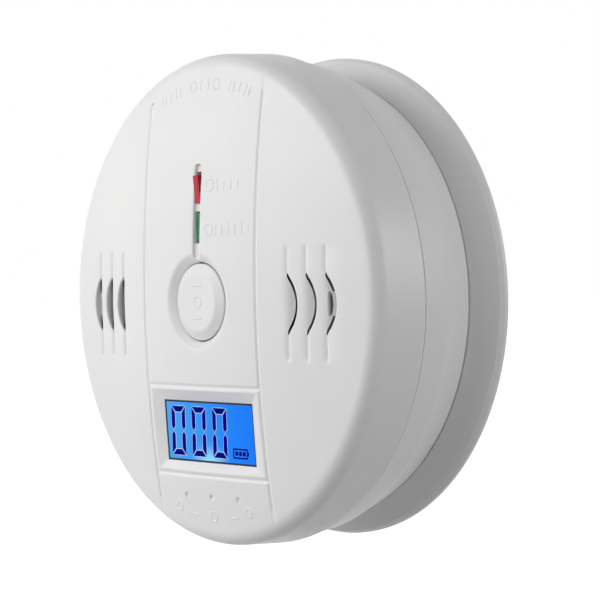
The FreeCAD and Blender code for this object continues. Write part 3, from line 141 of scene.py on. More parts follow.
def add_ramp(tree: Tree, value: Socket, *stops: tuple[float, str]) -> Socket:
    """Return the colour of a value on a ramp with (position, hex colour) stops from low to high."""
    node = add_node(tree, "ValToRGB", links={"Fac": value})
    ramp = node.color_ramp
    while len(ramp.elements) < len(stops):
        ramp.elements.new(0.5)
    for element, (position, code) in zip(ramp.elements, stops):
        element.position = position
        element.color = linear(code)
    return node.outputs["Color"]


def add_range(tree: Tree, value: Socket, start: float, end: float, **more: float | str) -> Socket:
    """Return a value mapped from start and end to 0 and 1, or to what more says."""
    settings = {"From Min": start, "From Max": end, **more}
    return add_node(tree, "MapRange", settings, {"Value": value}).outputs["Result"]


def add_mix(tree: Tree, share: Socket, under: Socket, code: str) -> Socket:
    """Return a colour with a share of a hex colour over it."""
    settings = {"data_type": "RGBA", 7: linear(code)}
    return add_node(tree, "Mix", settings, {0: share, 6: under}).outputs[2]


def add_higher(tree: Tree, first: Socket, second: Socket) -> Socket:
    """Return the higher of two values."""
    return add_node(tree, "Math", {"operation": "MAXIMUM"}, {0: first, 1: second}).outputs["Value"]


def new_material(name: str) -> tuple[bpy.types.Material, Tree]:
    """Start an empty node material, and return it with its tree."""
    material = bpy.data.materials.new(name)
    material.use_nodes = True
    material.node_tree.nodes.clear()
    return material, material.node_tree


def new_thing(name: str, data: bpy.types.ID) -> Thing:
    """Put new data into the scene, as an object at the origin."""
    thing = bpy.data.objects.new(name, data)
    bpy.context.scene.collection.objects.link(thing)
    return thing


# ---- finishes

# Noise levels between which a cloud turns from the dark tone to the light one, or the roughness rises.
CLOUD_EDGES = (0.32, 0.68)
WEAR_EDGES = (0.3, 0.7)
# Fineness of the noises, and the size of the roughness's clouds as a share of the tone's.
TONE_DETAIL = 3.0
WEAR_DETAIL = 4.0
GRAIN_ROUGHNESS = 0.55
WEAR_SHARE = 0.6
COAT_ROUGHNESS = 0.08
# How deep light scatters, in millimetres.
SCATTER_DEPTH = 1.5
# Radians that a band texture turns through in one unit.
BAND_RADIANS = 20.0


@dataclass(frozen=True)
class Finish:
    """A surface with a fine cloud of tone, a varying roughness and a moulded or rolled grain.

    Attributes:
        name: The material's name.
        light: Hex colour of the lighter tone.
        dark: Hex colour of the darker tone.
        metallic: 0 for plastics and ceramics, 1 for metals.
        roughness: Lowest and highest roughness.
        tone_size: Size of the tone's clouds, in millimetres.
        grain_size: Size of the grain, in millimetres.
        grain_height: Height of the grain, in millimetres.
        coat: Weight of a clear glossy layer.
        glow: Emission strength of the surface's own colour.
        subsurface: Weight of light that scatters inside.
        ior: Index of refraction, for what isn't metal.
        body: Hex colour under a glowing tone, or empty where the tone itself is the body's colour.
        shine: Specular level.
    """

    name: str
    light: str
    dark: str
    metallic: float = 0.0
    roughness: Pair = (0.4, 0.5)
    tone_size: float = 9.0
    grain_size: float = 0.35
    grain_height: float = 0.004
    coat: float = 0.0
    glow: float = 0.0
    subsurface: float = 0.0
    ior: float = 1.5
    body: str = ""
    shine: float = 0.5

    def tone(self, tree: Tree, place: Socket) -> Socket:
        """Return the colour socket: two tones mixed by a soft cloud."""
        cloud = add_noise(tree, place, self.tone_size, TONE_DETAIL)
        return add_ramp(tree, cloud, (CLOUD_EDGES[0], self.dark), (CLOUD_EDGES[1], self.light))

    def grain(self, tree: Tree, place: Socket) -> Socket:
        """Return the height socket of the grain."""
        return add_noise(tree, place, self.grain_size, rough=GRAIN_ROUGHNESS)

    def material(self) -> bpy.types.Material:
        """Build the material, or return the one already built under this name."""
        if self.name in bpy.data.materials:
            return bpy.data.materials[self.name]
        material, tree = new_material(self.name)
        place = object_place(tree)
        colour = self.tone(tree, place)
        relief = {"Strength": 1.0, "Distance": self.grain_height * MM}
        bump = add_node(tree, "Bump", relief, {"Height": self.grain(tree, place)})
        wear = add_noise(tree, place, self.tone_size * WEAR_SHARE, WEAR_DETAIL)
        low, high = self.roughness
        rough = add_range(tree, wear, *WEAR_EDGES, **{"To Min": low, "To Max": high})
        settings = {"Metallic": self.metallic, "Coat Weight": self.coat, "Coat Roughness": COAT_ROUGHNESS,
                    "Specular IOR Level": self.shine}
        if self.metallic == 0.0:
            settings["IOR"] = self.ior
        if self.subsurface:
            settings |= {"Subsurface Weight": self.subsurface, "Subsurface Scale": SCATTER_DEPTH * MM}
        links = {"Roughness": rough, "Normal": bump.outputs["Normal"]}
        if self.body:
            settings["Base Color"] = linear(self.body)
        else:
            links["Base Color"] = colour
        if self.glow:
            settings["Emission Strength"] = self.glow
            links["Emission Color"] = colour
        shader = add_node(tree, "BsdfPrincipled", settings, links)
        add_node(tree, "OutputMaterial", links={"Surface": shader.outputs["BSDF"]})
        return material


@dataclass(frozen=True)
class LitDisplay(Finish):
    """Blue backlit crystal display: an even glow, cyan low in the middle and deeper at the right.

    Attributes:
        middle: Height of the display's middle, in millimetres.
        half_width: Half the width of the glow, in millimetres.
        pool_size: Reach of the paler pool across and up, in millimetres.
        pool_shift: How far the pool lies to the left and down, in its own reaches.
        pool: Hex colour of the pool.
        pool_weight: How much of the pool's colour shows in its middle.
    """

    middle: float = GLASS_MIDDLE
    half_width: float = GLASS_HALF_WIDTH
    pool_size: Pair = (7.5, 5.0)
    pool_shift: Pair = (0.08, 1.3)
    pool: str = "9ae4f0"
    pool_weight: float = 0.95

    def tone(self, tree: Tree, place: Socket) -> Socket:
        """Return the glow: a ramp from left to right, and a paler pool at the lower middle."""
        point = {"vector_type": "POINT", "Location": (0.0, 0.0, -self.middle * MM)}
        centred = add_node(tree, "Mapping", point, {"Vector": place}).outputs["Vector"]
        across = add_node(tree, "SeparateXYZ", links={"Vector": centred}).outputs["X"]
        across = add_range(tree, across, -self.half_width * MM, self.half_width * MM)
        glow = add_ramp(
            tree, across, (0.0, self.light), (0.35, "3c98f2"), (0.75, "2482f8"), (1.0, self.dark)
        )
        point = {"vector_type": "POINT", "Location": (self.pool_shift[0], 0.0, self.pool_shift[1]),
                 "Scale": (per_mm(self.pool_size[0]), 0.0, per_mm(self.pool_size[1]))}
        pooled = add_node(tree, "Mapping", point, {"Vector": centred}).outputs["Vector"]
        ball = add_node(tree, "TexGradient", {"gradient_type": "SPHERICAL"}, {"Vector": pooled})
        more = {"interpolation_type": "SMOOTHSTEP", "To Max": self.pool_weight}
        return add_mix(tree, add_range(tree, ball.outputs["Fac"], 0.0, 1.0, **more), glow, self.pool)


@dataclass(frozen=True)
class WireMesh(Finish):
    """Woven steel wire: bright wires at a fixed pitch both ways, dark in between.

    Attributes:
        pitch: Distance between wires, in millimetres, drawn coarse enough to show.
    """

    pitch: float = 0.55

    def lattice(self, tree: Tree, place: Socket) -> Socket:
        """Return the wires' height: the higher of two sets of sine bands."""
        scale = per_mm(self.pitch) * 2 * np.pi / BAND_RADIANS
        bands = []
        for axis in ("X", "Z"):
            settings = {"wave_type": "BANDS", "bands_direction": axis, "Scale": scale}
            bands.append(add_node(tree, "TexWave", settings, {"Vector": place}).outputs["Fac"])
        return add_higher(tree, *bands)

    def tone(self, tree: Tree, place: Socket) -> Socket:
        """Return steel on the wires and near black between them."""
        return add_ramp(tree, self.lattice(tree, place), (0.62, self.dark), (0.82, self.light))

    def grain(self, tree: Tree, place: Socket) -> Socket:
        """Return the wires' own height."""
        return self.lattice(tree, place)


@dataclass(frozen=True)
class Sleeve(Finish):
    """Printed shrink sleeve of a cell: two plain bands of colour along its length.

    Attributes:
        split_at: Where the second colour starts, in millimetres across.
        blur: Half the width of the bands' edge, in millimetres.
        second: Hex colour of the second band.
    """

    split_at: float = 10.0
    blur: float = 0.1
    second: str = "1b1c20"

    def tone(self, tree: Tree, place: Socket) -> Socket:
        """Return the band's colour by the place along the cell, over the usual cloud."""
        cloud = super().tone(tree, place)
        along = add_node(tree, "SeparateXYZ", links={"Vector": place}).outputs["X"]
        edges = (self.split_at - self.blur) * MM, (self.split_at + self.blur) * MM
        return add_mix(tree, add_range(tree, along, *edges), cloud, self.second)


# What several finishes share: tinted acrylic, print on the display, and light behind it.
LENS = {"roughness": (0.2, 0.3), "tone_size": 2.0, "grain_size": 0.5, "grain_height": 0.002, "ior": 1.49,
        "shine": 0.12}
PRINT = {"tone_size": 3.0, "grain_size": 0.4, "grain_height": 0.0005}
BACKLIT = {"ior": 1.2, "shine": 0.0}

# White ABS from a finely spark-eroded tool: satin, nearly smooth, a neutral white.
SHELL = Finish("moulded_white_abs", "ebebea", "e7e7e7", roughness=(0.36, 0.44), tone_size=24.0,
               grain_size=0.3, grain_height=0.0012, ior=1.46)
DISPLAY = LitDisplay("backlit_display_glass", "52a6f2", "1e7af6", roughness=(0.12, 0.18), grain_size=1.5,
                     grain_height=0.0004, glow=1.0, body="04102a", **BACKLIT)
SEGMENTS = Finish("display_segment_film", "0f12a0", "0b0c8c", roughness=(0.25, 0.35), glow=0.7,
                  body="03031c", **PRINT, **BACKLIT)
SEGMENT_EDGE = Finish("display_segment_gaps", "cfeaff", "bfe2ff", roughness=(0.25, 0.35), glow=0.95,
                      body="04102a", **PRINT, **BACKLIT)
# Painted shade: a dark band on the glass's edge, where the gap between glass and opening lies in shadow.
GAP_SHADE = Finish("painted_gap_shade", "0b1440", "070d2c", shine=0.2, **PRINT)

# Slot, then the finish's name, light and dark tone, metallic, roughness, tone size, grain size,
# grain height and coat, as far as they differ from the usual ones.
PLAIN_FINISHES = (
    ("holder_plastic", "holder_abs", "dcdcda", "d2d2cf", 0.0, (0.45, 0.6), 9.0, 0.4, 0.006),
    ("strip_rubber", "connector_rubber", "35363a", "26272a", 0.0, (0.7, 0.85), 9.0, 0.3, 0.01),
    ("board", "solder_mask_board", "1f6b3b", "185a31", 0.0, (0.28, 0.4), 5.0, 0.6, 0.012, 0.3),
    ("dark_plastic", "black_moulded_nylon", "2b2c2f", "202123", 0.0, (0.45, 0.6), 9.0, 0.35, 0.006),
    ("sensor_metal", "deep_drawn_nickel_steel", "c9c6bf", "b3b0a8", 1.0, (0.28, 0.42), 9.0, 0.25),
    ("piezo_brass", "piezo_brass", "c79b4b", "b58939", 1.0, (0.25, 0.38), 9.0, 0.3),
    ("capacitor_can", "capacitor_sleeve_can", "3d4652", "2f3741", 0.0, (0.3, 0.42), 9.0, 0.35, 0.003),
    ("ferrite", "sintered_ferrite", "4a4a4c", "39393b", 0.0, (0.6, 0.8), 9.0, 0.2, 0.01),
    ("chip_ceramic", "chip_epoxy", "2c2c30", "222226", 0.0, (0.5, 0.65), 9.0, 0.15, 0.005),
    ("contact_steel", "nickel_plated_spring_steel", "cfccc2", "bab7ad", 1.0, (0.2, 0.35), 9.0, 0.25),
    ("screw_steel", "zinc_plated_steel", "c2c5c8", "a8acb0", 1.0, (0.28, 0.45), 9.0, 0.3, 0.006),
)

SLOT_FINISHES: dict[str, Finish] = {
    "shell_plastic": SHELL,
    "red_lens": Finish("red_acrylic_lens", "c82a3a", "b42030", **LENS),
    "green_lens": Finish("green_acrylic_lens", "4f9a68", "3a8455", **LENS),
    "display_glass": DISPLAY,
    "light_guide": Finish("milky_light_guide", "eef1f4", "dfe5ea", roughness=(0.3, 0.4), subsurface=0.3),
    "mesh_steel": WireMesh("woven_steel_mesh", "a9a9a6", "15161a", roughness=(0.3, 0.45), grain_height=0.12),
    "cell_sleeve": Sleeve("cell_shrink_sleeve", "c6964a", "b98a3f", roughness=(0.22, 0.34), coat=0.3),
    **{slot: Finish(*values) for slot, *values in PLAIN_FINISHES},
}


# ---- surfaces


def unit(value: Array) -> Array:
    """Return values held between 0 and 1."""
    return np.clip(value, 0, 1)


def bell(share: Array) -> Array:
    """Return a raised cosine, which is 1 at 0 and falls to 0 at 1 on both sides."""
    return 0.5 + 0.5 * np.cos(np.pi * share)


def circle_height(share: Array) -> Array:
    """Return a unit circle's height over its middle line, or 0 beyond its ends."""
    return np.sqrt(np.clip(1 - share**2, 0, None))


def packed(*parts: Array) -> Array:
    """Return separate coordinates as rows of points."""
    return np.stack(parts, axis=-1)


def round_path(x: float, z: float, radius: float, turn: Array) -> Array:
    """Return points round a middle, at angles in radians."""
    return packed(x + radius * np.cos(turn), z + radius * np.sin(turn))


def rectangle(half: float, low: float, high: float) -> Array:
    """Return the corners of a rectangle on the middle line, anticlockwise from the lower right."""
    return np.array([(half, low), (half, high), (-half, high), (-half, low)])


@dataclass
class Skin:
    """Points and four-cornered faces of one or more surfaces, in millimetres.

    Attributes:
        points: Rows of x, y and z.
        faces: Rows of four point numbers, anticlockwise seen from outside.
    """

    points: Array
    faces: Array

    @classmethod
    def grid(cls, places: Array, keep: Array | None = None, closed: bool = False) -> "Skin":
        """Join a grid of points into faces.

        Args:
            places: Points as (rows, columns, 3); column way crossed with row way points outwards.
            keep: Which cells get a face, or None for all, as a closed grid needs.
            closed: Whether the last column joins the first.

        Returns:
            The surface, without its cells of no area.
        """
        if closed:
            places = np.concatenate([places, places[:, :1]], axis=1)
        rows, columns = places.shape[:2]
        number = np.arange(rows * columns).reshape(rows, columns)
        faces = packed(number[:-1, :-1], number[:-1, 1:], number[1:, 1:], number[1:, :-1])
        corners = np.moveaxis(places.reshape(-1, 3)[faces], 2, 0)
        area = np.linalg.norm(np.cross(corners[2] - corners[0], corners[3] - corners[1]), axis=-1)
        wanted = area > LEAST_AREA
        if keep is not None:
            wanted &= keep
        return cls(places.reshape(-1, 3), faces[wanted])

    @classmethod
    def joined(cls, parts: list["Skin"]) -> "Skin":
        """Return several surfaces as one."""
        starts = np.cumsum([0] + [len(part.points) for part in parts[:-1]])
        return cls(
            np.concatenate([part.points for part in parts]),
            np.concatenate([part.faces + start for part, start in zip(parts, starts)]),
        )

    def mesh_object(self, name: str, finish: Finish, crease: float = 33.0) -> Thing:
        """Make the surface an object, with its seams merged and smooth up to a crease angle.

        Args:
            name: The object's name.
            finish: What it is made of.
            crease: Angle between faces, in degrees, past which an edge stays sharp.

        Returns:
            The object, at the origin, with its place in its mesh.
        """
        shape = bmesh.new()
        raw = bpy.data.meshes.new(name)
        raw.from_pydata((self.points * MM).tolist(), [], self.faces.tolist())
        shape.from_mesh(raw)
        bmesh.ops.remove_doubles(shape, verts=shape.verts, dist=MERGE_DISTANCE)
        loose = [vert for vert in shape.verts if not vert.link_faces]
        bmesh.ops.delete(shape, geom=loose, context="VERTS")
        shape.to_mesh(raw)
        shape.free()
        raw.polygons.foreach_set("use_smooth", np.ones(len(raw.polygons), bool))
        raw.set_sharp_from_angle(angle=np.radians(crease))
        raw.materials.append(finish.material())
        return new_thing(name, raw)


def turned(profile: Array, angles: Array, height: float = 0.0) -> Skin:
    """Turn a profile about the y axis, or about a line beside it.

    A point is (radius times cosine, minus depth, radius times sine plus height).

    Args:
        profile: Rows of radius and depth, forward along the outside and then inwards.
        angles: Angles round the axis, in radians, for one whole turn without its end.
        height: How far the axis lies above the origin.

    Returns:
        The closed ring of surface.
    """
    radius, depth = profile[:, :1], profile[:, 1:]
    places = packed(radius * np.cos(angles), -depth + 0 * angles, radius * np.sin(angles) + height)
    return Skin.grid(places, closed=True)


def full_turn(count: int) -> Array:
    """Return evenly spaced angles for one turn."""
    return np.arange(count) * (2 * np.pi / count)


def arc(centre: Pair, radius: float, start: float, end: float, count: int) -> Array:
    """Return points of an arc in (radius, depth), between angles in degrees from outwards to forward."""
    return round_path(*centre, radius, np.radians(np.linspace(start, end, count)))


def softened(corners: list[tuple[float, float, float]], steps: int = 5) -> Array:
    """Round the corners of a profile.

    Each inner corner is replaced by a quadratic curve that starts and ends its own distance away.

    Args:
        corners: Rows of radius, depth and rounding distance.
        steps: Points on each rounding.

    Returns:
        Rows of radius and depth.
    """
    points = np.array(corners, float)
    place, reach = points[:, :2], points[:, 2]
    rows = [place[:1]]
    share = np.linspace(0, 1, steps)[:, None]
    for before, at, after, soft in zip(place[:-2], place[1:-1], place[2:], reach[1:-1]):
        if soft <= 0:
            rows.append(at[None])
            continue
        back, on = before - at, after - at
        start = at + back / np.linalg.norm(back) * soft
        end = at + on / np.linalg.norm(on) * soft
        rows.append(start * (1 - share) ** 2 + at * 2 * share * (1 - share) + end * share**2)
    rows.append(place[-1:])
    return np.concatenate(rows)


def soft_lower(first: Array, second: Array, blend: float) -> Array:
    """Return the lower of two heights, rounded over a blend length where they cross."""
    share = unit(0.5 + 0.5 * (second - first) / blend)
    return second * (1 - share) + first * share - blend * share * (1 - share)


def spaced(*spans: tuple[float, float, float]) -> Array:
    """Return evenly spaced positions over spans of (start, end, step), each with its own step."""
    rows = [np.linspace(start, end, max(2, round((end - start) / step) + 1)) for start, end, step in spans]
    return np.unique(np.round(np.concatenate(rows), 5))


# ---- front cover


def glass_front(z: Array) -> Array:
    """Depth of the display's front, which leans back a little towards its lower edge, as the dome does."""
    return GLASS_DEPTH + GLASS_LEAN * (z - GLASS_MIDDLE)


@dataclass
class FrontCover:
    """Domed white cover: soft grooves, display bezel, light slot, button dish, louvres and dimples.

    The front is a height field. Its rows are level lines; its columns run upright and bend so that
    they follow the slot's round end and the louvres' arcs, which keeps those edges exact.

    Attributes, where the name alone doesn't say it:
        groove_join: How far past the upright grooves the level ones fade out.
        groove_end, groove_fade: Depth where the upright grooves end, and the length of their fading.
        groove_crossing, groove_turn: Radius where they cross the side, and half the angle, in
            radians, that gets dense columns there.
        bow_width: Width of a scoop from which its edge is wholly a quarter circle.
        gap_squeeze: Share of the gap that the vent takes away where it is widest.
        gap_limit: Widest gap, as a share of the scoop's width.
        vent_limit: Latest start of the vent, as a share of the way to the gap.
        vent_slope: How far before the vent its raised rim starts.
        between_tips: Two more heights with lines, between the tips of vent, gap and louvre.
        dimple_steep: Over 1, which makes a dimple's floor flat in its middle.
        snug: Distance of a line from a step that it keeps sharp.
        line_lead: How far before a ramp the last plain line runs.
    """

    front_depth: float = 38.0
    dome_radius: float = 276.0
    round_radius: float = 3.4
    rim_radius: float = 49.42
    seam_radius: float = 50.0
    seam_depth: float = 21.6
    seam_bevel: float = 0.55
    face_radius: float = 44.75
    panel_half_width: float = 18.26
    groove_half_width: float = 0.66
    groove_depth: float = 0.26
    groove_join: float = 0.6
    groove_end: float = 33.4
    groove_fade: float = 1.6
    groove_crossing: float = 48.6
    groove_turn: float = 0.034
    upper_line: float = -17.3
    lower_line: float = -35.4
    window_half_width: float = GLASS_HALF_WIDTH
    window_bottom: float = -32.81
    window_top: float = -20.31
    window_rim: float = 0.12
    window_back: float = 33.0
    bezel_side: float = 2.75
    bezel_top: float = 2.2
    bezel_bottom: float = 1.7
    button_height: float = BUTTON_HEIGHT
    hole_radius: float = 8.0
    hole_back: float = 34.7
    dish_width: float = 1.6
    dish_floor: float = 36.7
    dish_blend: float = 0.35
    lip_width: float = 0.3
    lip_height: float = 0.12
    slot_half_width: float = 0.95
    slot_top: float = 27.48
    slot_depth: float = 0.8
    slot_round: float = 0.45
    led_heights: Pair = (22.7, 14.7)
    led_opening: float = 6.4
    led_well: float = 1.6
    louvre_lines: tuple[float, float, float] = (26.745, 31.725, 36.705)
    louvre_height: float = -0.73
    louvre_half_length: float = 11.35
    louvre_fade: float = 0.9
    ramp_lead: float = 1.6
    ramp_power: float = 3.0
    line_depth: float = 0.36
    scoop_bulge: float = 2.8
    scoop_radius: float = 7.51
    scoop_blend: float = 2.0
    scoop_depth: float = 4.0
    scoop_power: float = 1.4
    bow_width: float = 0.8
    edge_round: float = 0.4
    line_round: float = 0.9
    lip_wall: float = 1.8
    gap_width: float = 1.45
    gap_half_length: float = 5.9
    gap_squeeze: float = 0.8
    gap_limit: float = 0.8
    vent_start: float = 2.25
    vent_width: float = 0.55
    vent_rim: float = 0.25
    vent_half_length: float = 2.35
    vent_wall: float = 0.2
    vent_limit: float = 0.85
    vent_slope: float = 0.3
    between_tips: Pair = (5.337, 6.945)
    dimple_height: float = -39.72
    dimple_pitch: float = 8.42
    dimple_radius: float = 0.62
    dimple_depth: float = 0.42
    dimple_steep: float = 1.12
    snug: float = 0.0015
    line_lead: float = 0.02

    def dome(self, radius: Array) -> Array:
        """Depth of the dome: a sphere's height over a radius from the middle."""
        return self.front_depth - self.dome_radius + np.sqrt(self.dome_radius**2 - radius**2)

    def rim_profile(self) -> Array:
        """Return the side's profile from the seam forward, round the front and onto the dome.

        The rounding touches the straight side and the dome: its centre lies one rounding inside both.
        """
        corner = float(self.dome(np.array(self.rim_radius)))
        fall, taper = corner - self.seam_depth, self.seam_radius - self.rim_radius
        slant = np.hypot(fall, taper)
        out, forward = fall / slant, taper / slant
        middle = self.front_depth - self.dome_radius
        reach = out * self.rim_radius + forward * (corner - middle) - self.round_radius
        inner = self.dome_radius - self.round_radius
        along = np.sqrt(inner**2 - reach**2)
        centre = (out * reach - forward * along, middle + forward * reach + out * along)
        start = np.degrees(np.arctan2(forward, out))
        end = np.degrees(np.arctan2(centre[1] - middle, centre[0]))
        rounding = arc(centre, self.round_radius, start, end, 17)
        bevel = self.seam_depth + self.seam_bevel
        seam = softened([
            (self.seam_radius - 3.2, self.seam_depth, 0),
            (self.seam_radius - 0.42, self.seam_depth, 0.06),
            (self.seam_radius - taper * self.seam_bevel / fall, bevel, 0.14),
            (*rounding[0], 0),
        ])[:-1]
        share = np.linspace(0, 1, 9)[1:-1, None]
        side = seam[-1] * (1 - share) + rounding[0] * share
        inward = np.linspace(rounding[-1, 0], self.face_radius, 5)[1:]
        return np.concatenate([seam, side, rounding, packed(inward, self.dome(inward))])

    def groove_drop(self, x: Array, z: Array) -> Array:
        """Depth of the grooves round the centre panel: a raised cosine across each line."""

        def dip(distance: Array) -> Array:
            return bell(unit(np.abs(distance) / self.groove_half_width))

        upright = dip(np.abs(x) - self.panel_half_width)
        inside = unit((self.panel_half_width - np.abs(x)) / self.groove_join + 1.0)
        level = np.maximum(dip(z - self.upper_line), dip(z - self.lower_line)) * inside
        return self.groove_depth * np.maximum(upright, level)

    def side_skin(self) -> Skin:
        """Turn the side and the rounding, with the upright grooves running over them."""
        profile = self.rim_profile()
        crossing = np.arccos(self.panel_half_width / self.groove_crossing)
        fine = np.linspace(-self.groove_turn, self.groove_turn, 23)
        near = [(fine + turn) % (2 * np.pi)
                for turn in (crossing, np.pi - crossing, -crossing, crossing - np.pi)]
        angles = np.unique(np.round(np.concatenate([full_turn(288), *near]), 6))
        radius, depth = profile[:, :1], profile[:, 1:]
        cosine, sine = np.cos(angles), np.sin(angles)
        x, z = radius * cosine, radius * sine
        way = np.gradient(profile, axis=0)
        way /= np.linalg.norm(way, axis=1, keepdims=True)
        outward, forward = way[:, 1:], -way[:, :1]
        fade = unit((depth - self.groove_end) / self.groove_fade)
        # A height at which no level groove runs, so that only the upright ones count.
        drop = self.groove_drop(x, np.full_like(x, 30.0)) * fade
        sunk = drop * outward
        return Skin.grid(packed(x - sunk * cosine, -(depth - drop * forward), z - sunk * sine), closed=True)

    def rows(self) -> Array:
        """Return the heights of the level lines, dense where small forms need them.

        The tips of the vent, the gap and the louvre lie on lines, with two more between them.
        """
        lines = spaced(
            (-46.5, -41.0, 0.7), (-41.0, -38.4, 0.13), (-38.4, -36.3, 0.5), (-36.3, -34.5, 0.12),
            (-34.5, self.window_bottom, 0.3), (self.window_bottom, self.window_top, 0.9),
            (self.window_top, -18.2, 0.25), (-18.2, -16.4, 0.12), (-16.4, -12.3, 0.6), (-12.3, -10.2, 0.4),
            (-10.2, 9.8, 0.21), (9.8, 11.4, 0.4), (11.4, 26.53, 0.8),
            (26.53, self.slot_top, 0.1), (self.slot_top, 46.5, 0.7),
        )
        pairs = [height + side * self.led_opening / 2 + step for height in self.led_heights
                 for side in (-1, 1) for step in (-0.14, -self.snug, self.snug, 0.14)]
        halves = (self.vent_half_length, self.gap_half_length, self.louvre_half_length, *self.between_tips)
        tips = [self.louvre_height + sign * half for sign in (-1, 1) for half in halves]
        return np.unique(np.concatenate([lines, pairs, tips, [self.slot_top - self.snug]]))

    def scoop_width(self, rise: Array) -> Array:
        """Width of a scoop at a height from its middle: an arc, then a blend back to nothing.

        Args:
            rise: Distance above or below the louvre's middle.

        Returns:
            How far the scoop reaches from the slit's edge.
        """
        radius, blend, bulge = self.scoop_radius, self.scoop_blend, self.scoop_bulge
        centre = bulge - radius
        tip = np.sqrt((radius + blend) ** 2 - (blend - centre) ** 2)
        meet = radius * tip / (radius + blend)
        rise = np.abs(rise)
        main = centre + np.sqrt(np.maximum(radius**2 - rise**2, 0))
        cusp = blend - np.sqrt(np.maximum(blend**2 - (tip - rise) ** 2, 0))
        return np.where(rise < meet, main, np.where(rise < tip, cusp, 0.0))

    def louvre_columns(self, line: float, rise: Array, pierced: bool) -> list[tuple]:
        """Return the upright lines of one louvre.

        The floor starts softly, a lead before the line, and falls as a power of the way to the
        louvre's edge. The edge is a quarter circle; under it a crescent gap opens to the inside.

        Args:
            line: The x of the louvre's straight line.
            rise: Each row's height over the louvre's middle.
            pierced: Whether the floor also has a vent shaped like a D.

        Returns:
            Rows of x, drop under the surface and kind.
        """
        width = self.scoop_width(rise)
        fade = unit((self.louvre_half_length - np.abs(rise)) / self.louvre_fade)
        fade = fade * fade * (3 - 2 * fade)
        run = self.ramp_lead + width
        bowl = self.scoop_depth * (width / self.scoop_bulge) ** self.scoop_power
        deep = np.maximum(self.line_depth, bowl) * fade
        flat = np.zeros_like(rise)
        first = line - self.ramp_lead + flat
        share = circle_height(rise / self.gap_half_length)
        vent = circle_height(rise / self.vent_half_length) * pierced
        gap = np.minimum(self.gap_width * (1 - self.gap_squeeze * vent) * share, self.gap_limit * width)
        near = run - gap

        def floor(way: Array) -> Array:
            return deep * (way / run) ** self.ramp_power

        rows = [(first - self.line_lead, flat, "face")]
        begin = flat
        if pierced:
            start = np.minimum(self.vent_start, near * self.vent_limit)
            begin = np.minimum(start + self.vent_width * vent, near)
            rim, wall = self.vent_rim * (vent > 0), self.vent_wall * (vent > 0)
            slope = self.vent_slope * vent
            rows += [(first + start * part, floor(start * part), "face") for part in (0.3, 0.6, 0.9)]
            rows += [
                (first + start - slope, floor(start - slope) - rim, "face"),
                (first + start, floor(start) - rim, "face"),
                (first + start, floor(start) + wall, "vent_near"),
                (first + begin, floor(begin) + wall, "vent_far"),
                (first + begin, floor(begin), "face"),
            ]
        for part in (0.2, 0.4, 0.6, 0.8, 1.0):
            way = begin + (near - begin) * part
            rows.append((first + way, floor(way), "face"))
        bowed = unit(width / self.bow_width)
        round_size = np.minimum(self.edge_round, deep)
        low = np.where(gap > 0, np.maximum(round_size, deep * self.lip_wall / self.scoop_depth), deep)
        rows.append((first + near, floor(near), "gap_near"))
        rows.append((first + run, low, "gap_far"))
        for part in (0.0, 0.1, 0.25, 0.45, 0.7, 1.0):
            left = round_size - round_size * part
            bend = round_size - np.sqrt(np.clip(round_size**2 - left**2, 0, None))
            slope = deep * bell(part)
            away = (bowed * self.edge_round + (1 - bowed) * self.line_round) * part
            rows.append((first + run + away, bowed * bend + (1 - bowed) * slope, "face"))
        return rows

    def columns(self, z: Array) -> tuple[Array, Array, Array]:
        """Return the upright lines of the right half.

        Args:
            z: Heights of the rows.

        Returns:
            The x and the drop under the surface of each row and column, and each column's kind.
        """
        cap = self.slot_top - self.slot_half_width
        half = np.sqrt(np.clip(self.slot_half_width**2 - np.clip(z - cap, 0, None) ** 2, 0, None))
        flat = np.zeros_like(z)
        hollow = self.slot_depth - self.slot_round
        rows = [(half * share, flat + self.slot_round + hollow * np.sqrt(1 - share**2), "slot_deep")
                for share in (0.0, 0.3, 0.55, 0.75, 0.9, 1.0)]
        rows.append((half, flat + self.slot_round, "slot_floor"))
        for share in (0.0, 0.12, 0.35, 0.65, 1.0):
            away = self.slot_round * share
            drop = self.slot_round - np.sqrt(self.slot_round**2 - (self.slot_round - away) ** 2)
            rows.append((half + away, flat + drop, "slot_edge"))
        for x in spaced((1.6, 10.1, 0.21), (10.1, self.window_half_width, 0.55),
                        (self.window_half_width, 17.3, 0.3), (17.3, 19.3, 0.11), (19.3, 24.9, 0.7)):
            rows.append((flat + x, flat, "face"))
        rise = z - self.louvre_height
        for step, line in enumerate(self.louvre_lines):
            rows += self.louvre_columns(line, rise, step == len(self.louvre_lines) - 1)
            if step < len(self.louvre_lines) - 1:
                begin, end = rows[-1][0], self.louvre_lines[step + 1] - self.ramp_lead - self.line_lead
                rows += [(begin + (end - begin) * share, flat, "face") for share in (0.33, 0.67)]
        for x in spaced((41.6, 46.5, 0.6)):
            rows.append((flat + x, flat, "face"))
        return (
            packed(*(row[0] for row in rows)),
            packed(*(row[1] for row in rows)),
            np.array([row[2] for row in rows]),
        )

